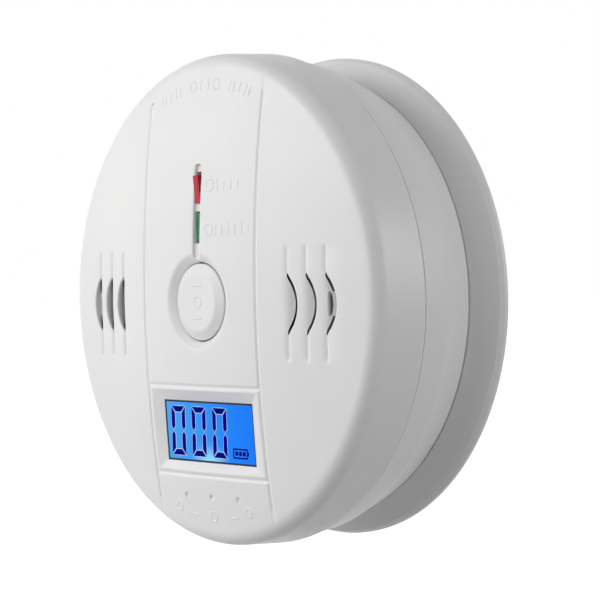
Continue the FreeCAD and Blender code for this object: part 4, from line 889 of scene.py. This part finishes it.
    def surface(self, x: Array, z: Array) -> Array:
        """Depth of the front without its openings: dome, grooves, bezel, dish and dimples."""
        depth = self.dome(np.hypot(x, z)) - self.groove_drop(x, z)
        side = (np.abs(x) - self.window_half_width) / self.bezel_side
        top = (z - self.window_top) / self.bezel_top
        bottom = (self.window_bottom - z) / self.bezel_bottom
        share = unit(np.maximum(np.maximum(side, top), bottom))
        rim = glass_front(z) + self.window_rim
        depth = rim + (depth - rim) * share
        away = np.hypot(x, z - self.button_height)
        edge = float(self.dome(np.array(self.hole_radius + self.dish_width)))
        cone = self.dish_floor + (away - self.hole_radius) * (edge - self.dish_floor) / self.dish_width
        lip = unit((self.hole_radius + self.lip_width - away) / self.lip_width) ** 2 * self.lip_height
        depth = soft_lower(depth, cone, self.dish_blend) - lip
        for step in (-1, 0, 1):
            near = np.hypot(x - step * self.dimple_pitch, z - self.dimple_height) / self.dimple_radius
            depth = depth - self.dimple_depth * unit(self.dimple_steep - self.dimple_steep * near**4)
        return depth

    def face_skin(self) -> Skin:
        """Work out the front's height field, mirror it, and leave its openings out."""
        z = self.rows()
        x, sunk, kind = self.columns(z)
        z = np.broadcast_to(z[:, None], x.shape).copy()

        away = np.hypot(x, z)
        outside = away > self.face_radius
        pull = np.where(outside, self.face_radius / np.maximum(away, 1e-9), 1.0)
        x, z = x * pull, z * pull
        from_button = np.hypot(x, z - self.button_height)
        in_hole = from_button < self.hole_radius
        push = np.where(in_hole, self.hole_radius / np.maximum(from_button, 1e-6), 1.0)
        x, z = x * push, (z - self.button_height) * push + self.button_height

        plain = self.surface(x, z)
        slot_floor = np.minimum(plain, self.dome(np.hypot(x, z)) - sunk)
        in_slot = (z < self.slot_top - 0.001) & (z > 0)
        in_led = np.zeros_like(in_slot)
        for height in self.led_heights:
            in_led |= np.abs(z - height) < self.led_opening / 2
        is_kind = {name: np.broadcast_to(kind == name, x.shape) for name in set(kind.tolist())}
        in_bed = is_kind["slot_deep"] | is_kind["slot_floor"]
        depth = np.select(
            [is_kind["slot_deep"] & in_led, in_bed & in_slot, is_kind["slot_edge"] & in_slot,
             is_kind["slot_edge"] | in_bed],
            [slot_floor - self.led_well, slot_floor, np.maximum(plain - sunk, slot_floor), plain],
            plain - sunk,
        )
        places = packed(x, -depth, z)

        def cells(flag: Array) -> Array:
            """Tell which cells have all four corners flagged."""
            return flag[:-1, :-1] & flag[:-1, 1:] & flag[1:, :-1] & flag[1:, 1:]

        def opened(near: str, far: str) -> Array:
            """Tell which cells lie between two kinds of line where those lines stand apart."""
            between = (kind[:-1] == near) & (kind[1:] == far)
            apart = x[:, 1:] - x[:, :-1] > 1e-6
            return between[None, :] & (apart[:-1] | apart[1:])

        drop = cells(outside | (away >= self.face_radius)) | cells(in_hole)
        in_window = (np.abs(x) < self.window_half_width + 1e-4) & (z > self.window_bottom - 1e-4)
        drop |= cells(in_window & (z < self.window_top + 1e-4))
        drop |= cells(is_kind["slot_deep"] & in_led)
        drop |= opened("vent_near", "vent_far") | opened("gap_near", "gap_far")
        right = Skin.grid(places, ~drop)
        mirrored = places[:, ::-1] * np.array([-1.0, 1.0, 1.0])
        left = Skin.grid(mirrored, ~drop[:, ::-1])
        return Skin.joined([right, left])

    def wall_skins(self) -> list[Skin]:
        """Make the walls behind the openings: the button's hole and the display's window."""
        edge = np.array([(self.hole_radius, self.dish_floor - self.lip_height),
                         (self.hole_radius, self.hole_back)])
        hole = turned(edge, full_turn(192), self.button_height)
        corners = rectangle(self.window_half_width, self.window_bottom, self.window_top)
        rim = glass_front(corners[:, 1]) + self.window_rim
        ring = np.stack([packed(corners[:, 0], -depth, corners[:, 1])
                         for depth in (rim, np.full(4, self.window_back))])
        return [hole, Skin.grid(ring, closed=True)]

    def build(self) -> Thing:
        """Build the cover, and let it stand for the solid cover."""
        skin = Skin.joined([self.face_skin(), self.side_skin(), *self.wall_skins()])
        cover = skin.mesh_object("moulded_front_cover", SHELL, 30.0)
        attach(cover, Body.DETECTOR.value)
        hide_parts("front_cover")
        return cover


# ---- rear housing


@dataclass
class RearHousing:
    """Rear half of the case: a slanting side, a soft ridge and a belly that narrows to the base.

    ridge_step says how far in and back from the ridge its foot lies.
    """

    seam_radius: float = 49.42
    seam_depth: float = 21.3
    lip_radius: float = 47.0
    lip_depth: float = 23.2
    ridge_radius: float = 48.7
    ridge_depth: float = 14.9
    belly_radius: float = 46.9
    belly_depth: float = 9.8
    back_radius: float = 45.4
    back_depth: float = 6.0
    wall: float = 2.0
    lip_wall: float = 1.2
    ridge_step: Pair = (0.58, 1.3)

    def build(self) -> Thing:
        """Build the shell as a closed turned form, and let it stand for the solid housing."""
        inner = self.lip_radius - self.lip_wall
        floor = self.back_depth + self.wall
        profile = softened([
            (0.0, self.back_depth, 0),
            (self.back_radius, self.back_depth, 0.7),
            (self.belly_radius, self.belly_depth, 2.2),
            (self.ridge_radius - self.ridge_step[0], self.ridge_depth - self.ridge_step[1], 0.3),
            (self.ridge_radius, self.ridge_depth, 0.12),
            (self.seam_radius, self.seam_depth, 0.22),
            (self.lip_radius, self.seam_depth, 0),
            (self.lip_radius, self.lip_depth, 0.1),
            (inner, self.lip_depth, 0.1),
            (inner, self.ridge_depth, 1.0),
            (self.back_radius - self.wall, floor, 0.5),
            (0.0, floor, 0),
        ], 7)
        housing = turned(profile, full_turn(256)).mesh_object("rear_shell", SHELL)
        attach(housing, Body.DETECTOR.value)
        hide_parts("rear_housing")
        return housing


# ---- raised marks


@dataclass
class RaisedMarks:
    """Low relief on the front: plain bars, rings and arcs in the places of moulded signs.

    Attributes, where the name alone doesn't say it:
        stroke: Width of the ridges.
        bedding: How far their edges are sunk in.
        top_row: Signs from left to right: p for a pair of bars, b for a bar, r for a ring,
            _ for a space.
        top_pitch: Angle between signs, in degrees.
        top_bar: Where the bars start and end, measured from the middle of the face.
        top_ring, light_ring: Place of a ring (radius, or x) and the ring's own radius.
        pair_shift: Half the distance between the bars of a pair.
        light_rows: Height of the row, number of its bars, and their pitch.
        light_bar_short: How much shorter every second bar is.
        low_arcs, low_arc_half: Middles of the arcs, and half their length, in degrees.
        low_rings: Angle, in degrees, and radius of each ring.
    """

    cover: FrontCover
    height: float = 0.12
    stroke: float = 0.6
    bedding: float = 0.012
    top_row: str = "pbp_rbbr_pbp"
    top_pitch: float = 3.35
    top_bar: Pair = (42.2, 44.5)
    top_ring: Pair = (43.35, 1.0)
    pair_shift: float = 0.65
    light_rows: tuple[tuple[float, int, float], ...] = ((23.0, 4, 2.1), (14.2, 6, 1.95))
    light_ring: Pair = (4.1, 1.15)
    light_bar_start: float = 6.4
    light_bar_half: float = 1.25
    light_bar_short: float = 0.5
    low_arc_radius: float = 44.0
    low_arcs: Pair = (-8.6, 8.6)
    low_arc_half: float = 1.9
    low_ring_radius: float = 43.6
    low_rings: tuple[Pair, ...] = ((-15.0, 0.9), (0.0, 1.0), (15.0, 0.9))

    def ribbon(self, path: Array, depth_of: Callable[[Array, Array], Array], closed: bool = False) -> Skin:
        """Carry a low rounded ridge along a path on the front.

        Across the path the height follows a raised cosine; at open ends width and height fall to
        nothing along a quarter of an ellipse.

        Args:
            path: Rows of x and z.
            depth_of: Function that gives the depth under x and z.
            closed: Whether the path is a ring.

        Returns:
            The ridge's surface.
        """
        way = np.gradient(path, axis=0)
        if closed:
            way = np.roll(path, -1, axis=0) - np.roll(path, 1, axis=0)
        way /= np.linalg.norm(way, axis=1, keepdims=True)
        across = packed(way[:, 1], -way[:, 0])
        length = np.concatenate([[0], np.cumsum(np.linalg.norm(np.diff(path, axis=0), axis=1))])
        end = unit(np.minimum(length, length[-1] - length) / (self.stroke * 0.5))
        fall = np.ones(len(path)) if closed else np.sqrt(1 - (1 - end) ** 2)
        span = np.linspace(-1, 1, 9)
        reach = span[None, :] * fall[:, None] * self.stroke / 2
        x = path[:, :1] + across[:, :1] * reach
        z = path[:, 1:] + across[:, 1:] * reach
        bulge = self.height * bell(span)[None, :] * fall[:, None]
        places = packed(x, -(depth_of(x, z) + bulge - self.bedding), z)
        if closed:
            places = np.concatenate([places, places[:1]], axis=0)
        return Skin.grid(places)

    @staticmethod
    def line(start: Pair, end: Pair) -> Array:
        """Return a straight path, with more points at its ends."""
        share = (0.5 - 0.5 * np.cos(np.linspace(0, np.pi, 24)))[:, None]
        return np.array(start) * (1 - share) + np.array(end) * share

    @staticmethod
    def ring(x: float, z: float, radius: float) -> Array:
        """Return a round path."""
        return round_path(x, z, radius, full_turn(40))

    def build(self) -> Thing:
        """Build all marks on the front as one piece."""
        paths: list[tuple[Array, bool]] = []
        # A curved row of bars, pairs and rings along the top edge of the panel, pitched in degrees.
        for place, sign in enumerate(self.top_row):
            angle = np.radians(90 - (place - (len(self.top_row) - 1) / 2) * self.top_pitch)
            along = np.array([np.cos(angle), np.sin(angle)])
            across = np.array([along[1], -along[0]])
            if sign == "r":
                reach, radius = self.top_ring
                paths.append((self.ring(*(reach * along), radius), True))
            for shift in {"p": (-self.pair_shift, self.pair_shift), "b": (0.0,)}.get(sign, ()):
                start, end = (tuple(reach * along + shift * across) for reach in self.top_bar)
                paths.append((self.line(start, end), False))
        # Signs beside the two lights: a ring, and bars of which every second one is shorter.
        for middle, count, pitch in self.light_rows:
            x, radius = self.light_ring
            paths.append((self.ring(x, middle, radius), True))
            for step in range(count):
                x, low = self.light_bar_start + step * pitch, middle - self.light_bar_half
                top = middle + self.light_bar_half - self.light_bar_short * (step % 2)
                paths.append((self.line((x, low), (x, top)), False))
        # The curved row under the dimples, with angles in degrees from straight down.
        for angle in self.low_arcs:
            turn = np.radians(270 + angle + np.linspace(-self.low_arc_half, self.low_arc_half, 24))
            paths.append((round_path(0.0, 0.0, self.low_arc_radius, turn), False))
        for angle, radius in self.low_rings:
            turn = np.radians(270 + angle)
            x, z = self.low_ring_radius * np.cos(turn), self.low_ring_radius * np.sin(turn)
            paths.append((self.ring(x, z, radius), True))
        skins = [self.ribbon(path, self.cover.surface, closed) for path, closed in paths]
        marks = Skin.joined(skins).mesh_object("raised_marks", SHELL, 60.0)
        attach(marks, Body.DETECTOR.value)
        return marks


# ---- button


@dataclass
class TestButton:
    """Round push button: a straight side, a wide bevel, and a nearly flat face.

    The face is a shallow dish and carries two short arcs and a ring.
    """

    height: float = BUTTON_HEIGHT
    radius: float = 7.73
    flange_radius: float = 8.78
    back_depth: float = 32.6
    rim_depth: float = 36.88
    face_radius: float = 5.9
    face_depth: float = 37.76
    dish_depth: float = 0.10
    sign_radius: float = 3.4

    def face(self, x: Array, z: Array) -> Array:
        """Depth of the face under a place on it."""
        away = np.hypot(x, z - self.height)
        return self.face_depth - self.dish_depth * (1 - unit(away / self.face_radius) ** 2)

    def build(self, marks: RaisedMarks) -> Thing:
        """Build the button, and let it stand for the solid button."""
        rim = softened([
            (0.0, self.back_depth, 0),
            (self.flange_radius, self.back_depth, 0.1),
            (self.flange_radius, self.back_depth + 1.0, 0.1),
            (self.radius, self.back_depth + 1.0, 0),
            (self.radius, self.rim_depth, 0.22),
            (self.face_radius, self.face_depth, 0.5),
            (self.face_radius - 1.6, self.face_depth - 0.045, 0),
        ], 7)
        inward = np.linspace(self.face_radius - 1.6, 0.0, 12)[1:]
        front = packed(inward, self.face(inward, np.full_like(inward, self.height)))
        skins = [turned(np.concatenate([rim, front]), full_turn(160), self.height)]
        for side in (-1, 1):
            turn = np.radians(90 * side + np.linspace(-28, 28, 26))
            skins.append(marks.ribbon(round_path(0.0, self.height, self.sign_radius, turn), self.face))
        skins.append(marks.ribbon(marks.ring(0.0, self.height, 1.15), self.face, True))
        button = Skin.joined(skins).mesh_object("push_button", SHELL, 30.0)
        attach(button, Body.BUTTON.value)
        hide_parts("test_button")
        return button


# ---- display


@dataclass
class DisplayFigures:
    """Three seven-segment noughts and a battery sign, printed just over the glass, and a dark band of painted
    shade round the glass's edge.

    Attributes, where the name alone doesn't say it:
        upright, level: Widths of the upright and the level bars.
        edge: Width of the pale edge round a bar.
        slant: How far a figure leans to the right, for each millimetre up.
        point_share: Height of an upright bar's point, as a share of its width.
        glass_inset: How much narrower than its opening the front sheet is on each side.
        sheet_depths: Depths of the rear sheet's back and front.
        sole_lift, gap_shade_lift, edge_lift, figure_lift: How far each kind of print, or the band of
            painted shade, stands over the glass; sole_lift is for their backs.
    """

    left: float = -12.75
    pitch: float = 6.85
    width: float = 4.65
    height: float = 10.1
    middle: float = -26.6
    upright: float = 1.2
    level: float = 1.2
    gap: float = 0.17
    edge: float = 0.11
    slant: float = 0.06
    point_share: float = 0.55
    glass_half_width: float = GLASS_HALF_WIDTH
    glass_middle: float = GLASS_MIDDLE
    glass_half_height: float = 6.25
    glass_inset: float = 0.2
    sheet_half_size: Pair = (15.5, 7.5)
    sheet_depths: Pair = (32.0, 33.2)
    # Width of the band of painted shade round the glass's edge.
    border: float = 0.42
    sole_lift: float = 0.002
    gap_shade_lift: float = 0.01
    edge_lift: float = 0.02
    figure_lift: float = 0.04
    battery_left: float = 7.4
    battery_rise: float = 0.15

    def plate(self, outline: Array, lift: float) -> Skin:
        """Make a thin plate over the glass from an outline with an even number of corners.

        Args:
            outline: Rows of x and z, anticlockwise.
            lift: How far its front stands over the glass.

        Returns:
            Its rim, and a face of four-cornered pieces round the middle.
        """
        count = len(outline)
        depth = glass_front(outline[:, 1])
        front, back = (packed(outline[:, 0], -depth - over, outline[:, 1]) for over in (lift, self.sole_lift))
        points = np.concatenate([front, back, front.mean(axis=0, keepdims=True)])
        ring = np.arange(count)
        after = (ring + 1) % count
        rim = packed(ring, ring + count, after + count, after)
        pairs = np.arange(0, count, 2)
        face = packed(np.full(count // 2, 2 * count), pairs, (pairs + 1) % count, (pairs + 2) % count)
        return Skin(points, np.concatenate([rim, face]))

    @staticmethod
    def grown(outline: Array, by: float) -> Array:
        """Move each corner of an anticlockwise outline outwards along the mean of its sides' normals."""
        side = np.roll(outline, -1, axis=0) - outline
        length = np.linalg.norm(side, axis=1, keepdims=True)
        normal = packed(side[:, 1], -side[:, 0]) / np.maximum(length, 1e-9)
        corner = normal + np.roll(normal, 1, axis=0)
        return outline + by * corner / np.maximum(np.linalg.norm(corner, axis=1, keepdims=True), 1e-9)

    def slanted(self, outline: Array) -> Array:
        """Lean an outline to the right with its height, about the figures' middle."""
        return outline + packed(self.slant * (outline[:, 1] - self.middle), 0 * outline[:, 1])

    def nought(self, left: float) -> list[Array]:
        """Return the outlines of the six lit bars of one nought, mitred at its corners."""
        right, middle = left + self.width, left + self.width / 2
        top, bottom = self.middle + self.height / 2, self.middle - self.height / 2
        upright, level, gap = self.upright, self.level, self.gap
        waist, point = self.middle, upright * self.point_share
        outlines = []
        for sign, end in ((1, top), (-1, bottom)):
            inner = end - sign * level
            bar = [(left + gap, end), (left + upright + gap, inner), (middle, inner),
                   (right - upright - gap, inner), (right - gap, end), (middle, end)]
            outlines.append(bar if sign > 0 else bar[::-1])
            for side, outer in ((1, left), (-1, right)):
                near = outer + side * upright
                post = [
                    (outer, end - sign * gap), (outer, waist + sign * (point + gap)),
                    ((outer + near) / 2, waist + sign * gap), (near, waist + sign * (point + gap)),
                    (near, (inner + waist) / 2), (near, inner - sign * gap),
                ]
                outlines.append(post if sign * side > 0 else post[::-1])
        return [np.array(outline) for outline in outlines]

    @staticmethod
    def box(left: float, bottom: float, width: float, height: float) -> Array:
        """Return a rectangle's outline, anticlockwise."""
        return np.array([(left, bottom), (left + width, bottom), (left + width, bottom + height),
                         (left, bottom + height)])

    def battery(self, left: float, bottom: float) -> list[Array]:
        """Return the outlines of a battery sign: a frame, three bars of charge and a tip."""
        width, height, line = 4.7, 2.1, 0.34
        tip_width, tip_height = 0.35, 0.8
        bar_start, bar_pitch, bar_width, bar_inset = 0.7, 1.2, 0.9, 0.62
        right, top = left + width, bottom + height
        inside = (bottom + line, line, height - 2 * line)
        outlines = [
            self.box(left, bottom, width, line), self.box(left, top - line, width, line),
            self.box(left, *inside), self.box(right - line, *inside),
            self.box(right, bottom + height / 2 - tip_height / 2, tip_width, tip_height),
        ]
        charge = (bottom + bar_inset, bar_width, height - 2 * bar_inset)
        return outlines + [self.box(left + bar_start + step * bar_pitch, *charge) for step in range(3)]

    def gap_shade_skin(self) -> Skin:
        """Return the flat dark band round the glass: painted shade where the gap to the opening lies in
        shadow.
        """
        rings = []
        for inset in (0.0, self.border):
            half, tall = self.glass_half_width - inset, self.glass_half_height - inset
            corners = rectangle(half, -tall, tall)
            z = corners[:, 1] + self.glass_middle
            rings.append(packed(corners[:, 0], -glass_front(z) - self.gap_shade_lift, z))
        return Skin.grid(np.stack(rings), closed=True)

    def glass_skin(self) -> Skin:
        """Return the display's two sheets: a wide rear one, and a front one with a leaning face."""
        middle, tall = np.array([0.0, self.glass_middle]), self.glass_half_height
        wide, high = self.sheet_half_size
        back, step = self.sheet_depths
        rear = rectangle(wide, -high, high) + middle
        front = rectangle(self.glass_half_width - self.glass_inset, -tall, tall) + middle
        point = np.tile(middle, (4, 1))
        rings = [(point, GLASS_DEPTH), (front, glass_front(front[:, 1])), (front, step), (rear, step),
                 (rear, back), (point, back)]
        places = [packed(ring[:, 0], np.zeros(4) - depth, ring[:, 1]) for ring, depth in rings]
        return Skin.grid(np.stack(places), closed=True)

    def build(self) -> list[Thing]:
        """Build the glass, the dark figures on it, their pale edges and the band of painted shade round its
        edge.
        """
        noughts = [self.slanted(outline) for step in range(3)
                   for outline in self.nought(self.left + step * self.pitch)]
        battery = self.battery(self.battery_left, self.middle - self.height / 2 + self.battery_rise)
        signs = noughts + [self.slanted(outline) for outline in battery]
        figures = Skin.joined([self.plate(outline, self.figure_lift) for outline in signs])
        grown = [self.grown(outline, self.edge) for outline in noughts]
        edges = Skin.joined([self.plate(outline, self.edge_lift) for outline in grown])
        pieces = [
            figures.mesh_object("display_figures", SEGMENTS),
            edges.mesh_object("display_figure_edges", SEGMENT_EDGE),
            self.gap_shade_skin().mesh_object("display_border", GAP_SHADE),
            self.glass_skin().mesh_object("display_sheets", DISPLAY),
        ]
        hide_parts("lcd_panel")
        for piece in pieces:
            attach(piece, Body.DETECTOR.value)
        return pieces


# ---- carried-over solids


def dress_solids() -> None:
    """Give every carried-over solid the finish of its slot in the record."""
    for name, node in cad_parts.items():
        for place in node.material_slots:
            slot = place.material.name.split(".")[0]
            if slot in SLOT_FINISHES:
                place.material = SLOT_FINISHES[slot].material()
            else:
                LOG.warning("%s has the unknown slot %s", name, slot)
        LOG.info("dressed %s", name)


# ---- stage


@dataclass
class Studio:
    """Camera, lights, floor and a white surround."""

    eye: tuple[float, float, float] = (339.85, -295.17, 5.71)
    ahead: tuple[float, float, float] = (-0.7669, 0.6417, -0.0141)
    up: tuple[float, float, float] = (0.0032, 0.0258, 0.9996)
    lens: float = 127.5
    sensor: float = 36.0
    clip: Pair = (0.01, 20.0)
    floor_height: float = -125.0
    floor_reach: float = 6.0
    floor_glow: float = 0.93
    room_light: float = 0.22

    def camera(self) -> None:
        """Place the camera."""
        data = bpy.data.cameras.new("camera")
        data.lens, data.sensor_width = self.lens, self.sensor
        data.clip_start, data.clip_end = self.clip
        thing = new_thing("camera", data)
        ahead = Vector(self.ahead).normalized()
        right = ahead.cross(Vector(self.up)).normalized()
        up = right.cross(ahead)
        turn = Matrix((right, up, -ahead)).transposed().to_4x4()
        thing.matrix_world = Matrix.Translation(Vector(self.eye) * MM) @ turn
        bpy.context.scene.camera = thing

    def lamp(self, name: str, place: tuple[float, float, float], side: float, power: float) -> None:
        """Add a square soft box that faces the detector.

        Args:
            name: The lamp's name.
            place: Where it stands, in metres.
            side: Its side, in metres.
            power: Its power, in watts.
        """
        data = bpy.data.lights.new(name, "AREA")
        data.shape, data.size, data.energy = "SQUARE", side, power
        thing = new_thing(name, data)
        thing.rotation_mode = "QUATERNION"
        thing.location = Vector(place)
        thing.rotation_quaternion = (-Vector(place)).to_track_quat("-Z", "Y")

    def surround(self) -> None:
        """Make the world: white to look at and in reflections, and a plain grey light on surfaces."""
        world = bpy.data.worlds.new("surround")
        world.use_nodes = True
        tree = world.node_tree
        tree.nodes.clear()
        lit, white = (add_node(tree, "Background", {"Color": WHITE, "Strength": strength})
                      for strength in (self.room_light, 1.0))
        add_node(tree, "OutputWorld", links={"Surface": self.by_ray(tree, lit, white)})
        bpy.context.scene.world = world

    @staticmethod
    def by_ray(tree: Tree, rest: bpy.types.Node, seen: bpy.types.Node) -> Socket:
        """Return one shader for rays of the camera, of reflections and through glass, else another."""
        rays = add_node(tree, "LightPath").outputs
        share = add_higher(tree, rays["Is Camera Ray"], rays["Is Glossy Ray"])
        share = add_higher(tree, share, rays["Is Transmission Ray"])
        links = {0: share, 1: rest.outputs[0], 2: seen.outputs[0]}
        return add_node(tree, "MixShader", links=links).outputs[0]

    def floor(self) -> None:
        """Lay a wide floor that looks white and keeps the shadow."""
        mesh = bpy.data.meshes.new("floor")
        corners = rectangle(self.floor_reach, -self.floor_reach, self.floor_reach)
        height = self.floor_height * MM
        corners = [(x, y, height) for x, y in np.roll(corners, 1, axis=0).tolist()]
        mesh.from_pydata(corners, [], [(0, 1, 2, 3)])
        material, tree = new_material("matt_floor_paint")
        cloud = add_noise(tree, object_place(tree), 300.0)
        paint = add_ramp(tree, cloud, (0.0, "bcbcbc"), (1.0, "c0c0c0"))
        matt = add_node(tree, "BsdfDiffuse", {"Roughness": 0.6}, {"Color": paint})
        none, glow = (add_node(tree, "Emission", {"Color": colour, "Strength": strength})
                      for colour, strength in ((BLACK, 0.0), (WHITE, self.floor_glow)))
        both = add_node(tree, "AddShader", links={0: matt.outputs[0], 1: self.by_ray(tree, none, glow)})
        add_node(tree, "OutputMaterial", links={"Surface": both.outputs[0]})
        mesh.materials.append(material)
        thing = new_thing("floor", mesh)

    def build(self) -> None:
        """Set the whole stage."""
        self.camera()
        self.lamp("front_softbox", (0.0, -1.5, 0.3), 0.8, 6.8)
        self.lamp("near_softbox", (-0.35, -0.55, 0.3), 0.3, 1.53)
        self.lamp("left_softbox", (-0.45, -0.35, 0.05), 0.3, 0.5)
        self.lamp("rear_softbox", (1.3, 0.9, 0.4), 0.7, 8.2)
        self.surround()
        self.floor()
        bpy.context.scene.view_settings.view_transform = "Standard"


def main() -> None:
    """Build every piece in order."""
    logging.basicConfig(level=logging.INFO, format="%(name)s: %(message)s")
    Studio().build()
    LOG.info("stage set")
    dress_solids()
    cover = FrontCover()
    pieces = [cover.build()]
    marks = RaisedMarks(cover)
    pieces += [RearHousing().build(), marks.build(), TestButton().build(marks), *DisplayFigures().build()]
    for piece in pieces:
        LOG.info("built %s with %d faces", piece.name, len(piece.data.polygons))
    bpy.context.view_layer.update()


if __name__ == "__main__":
    main()
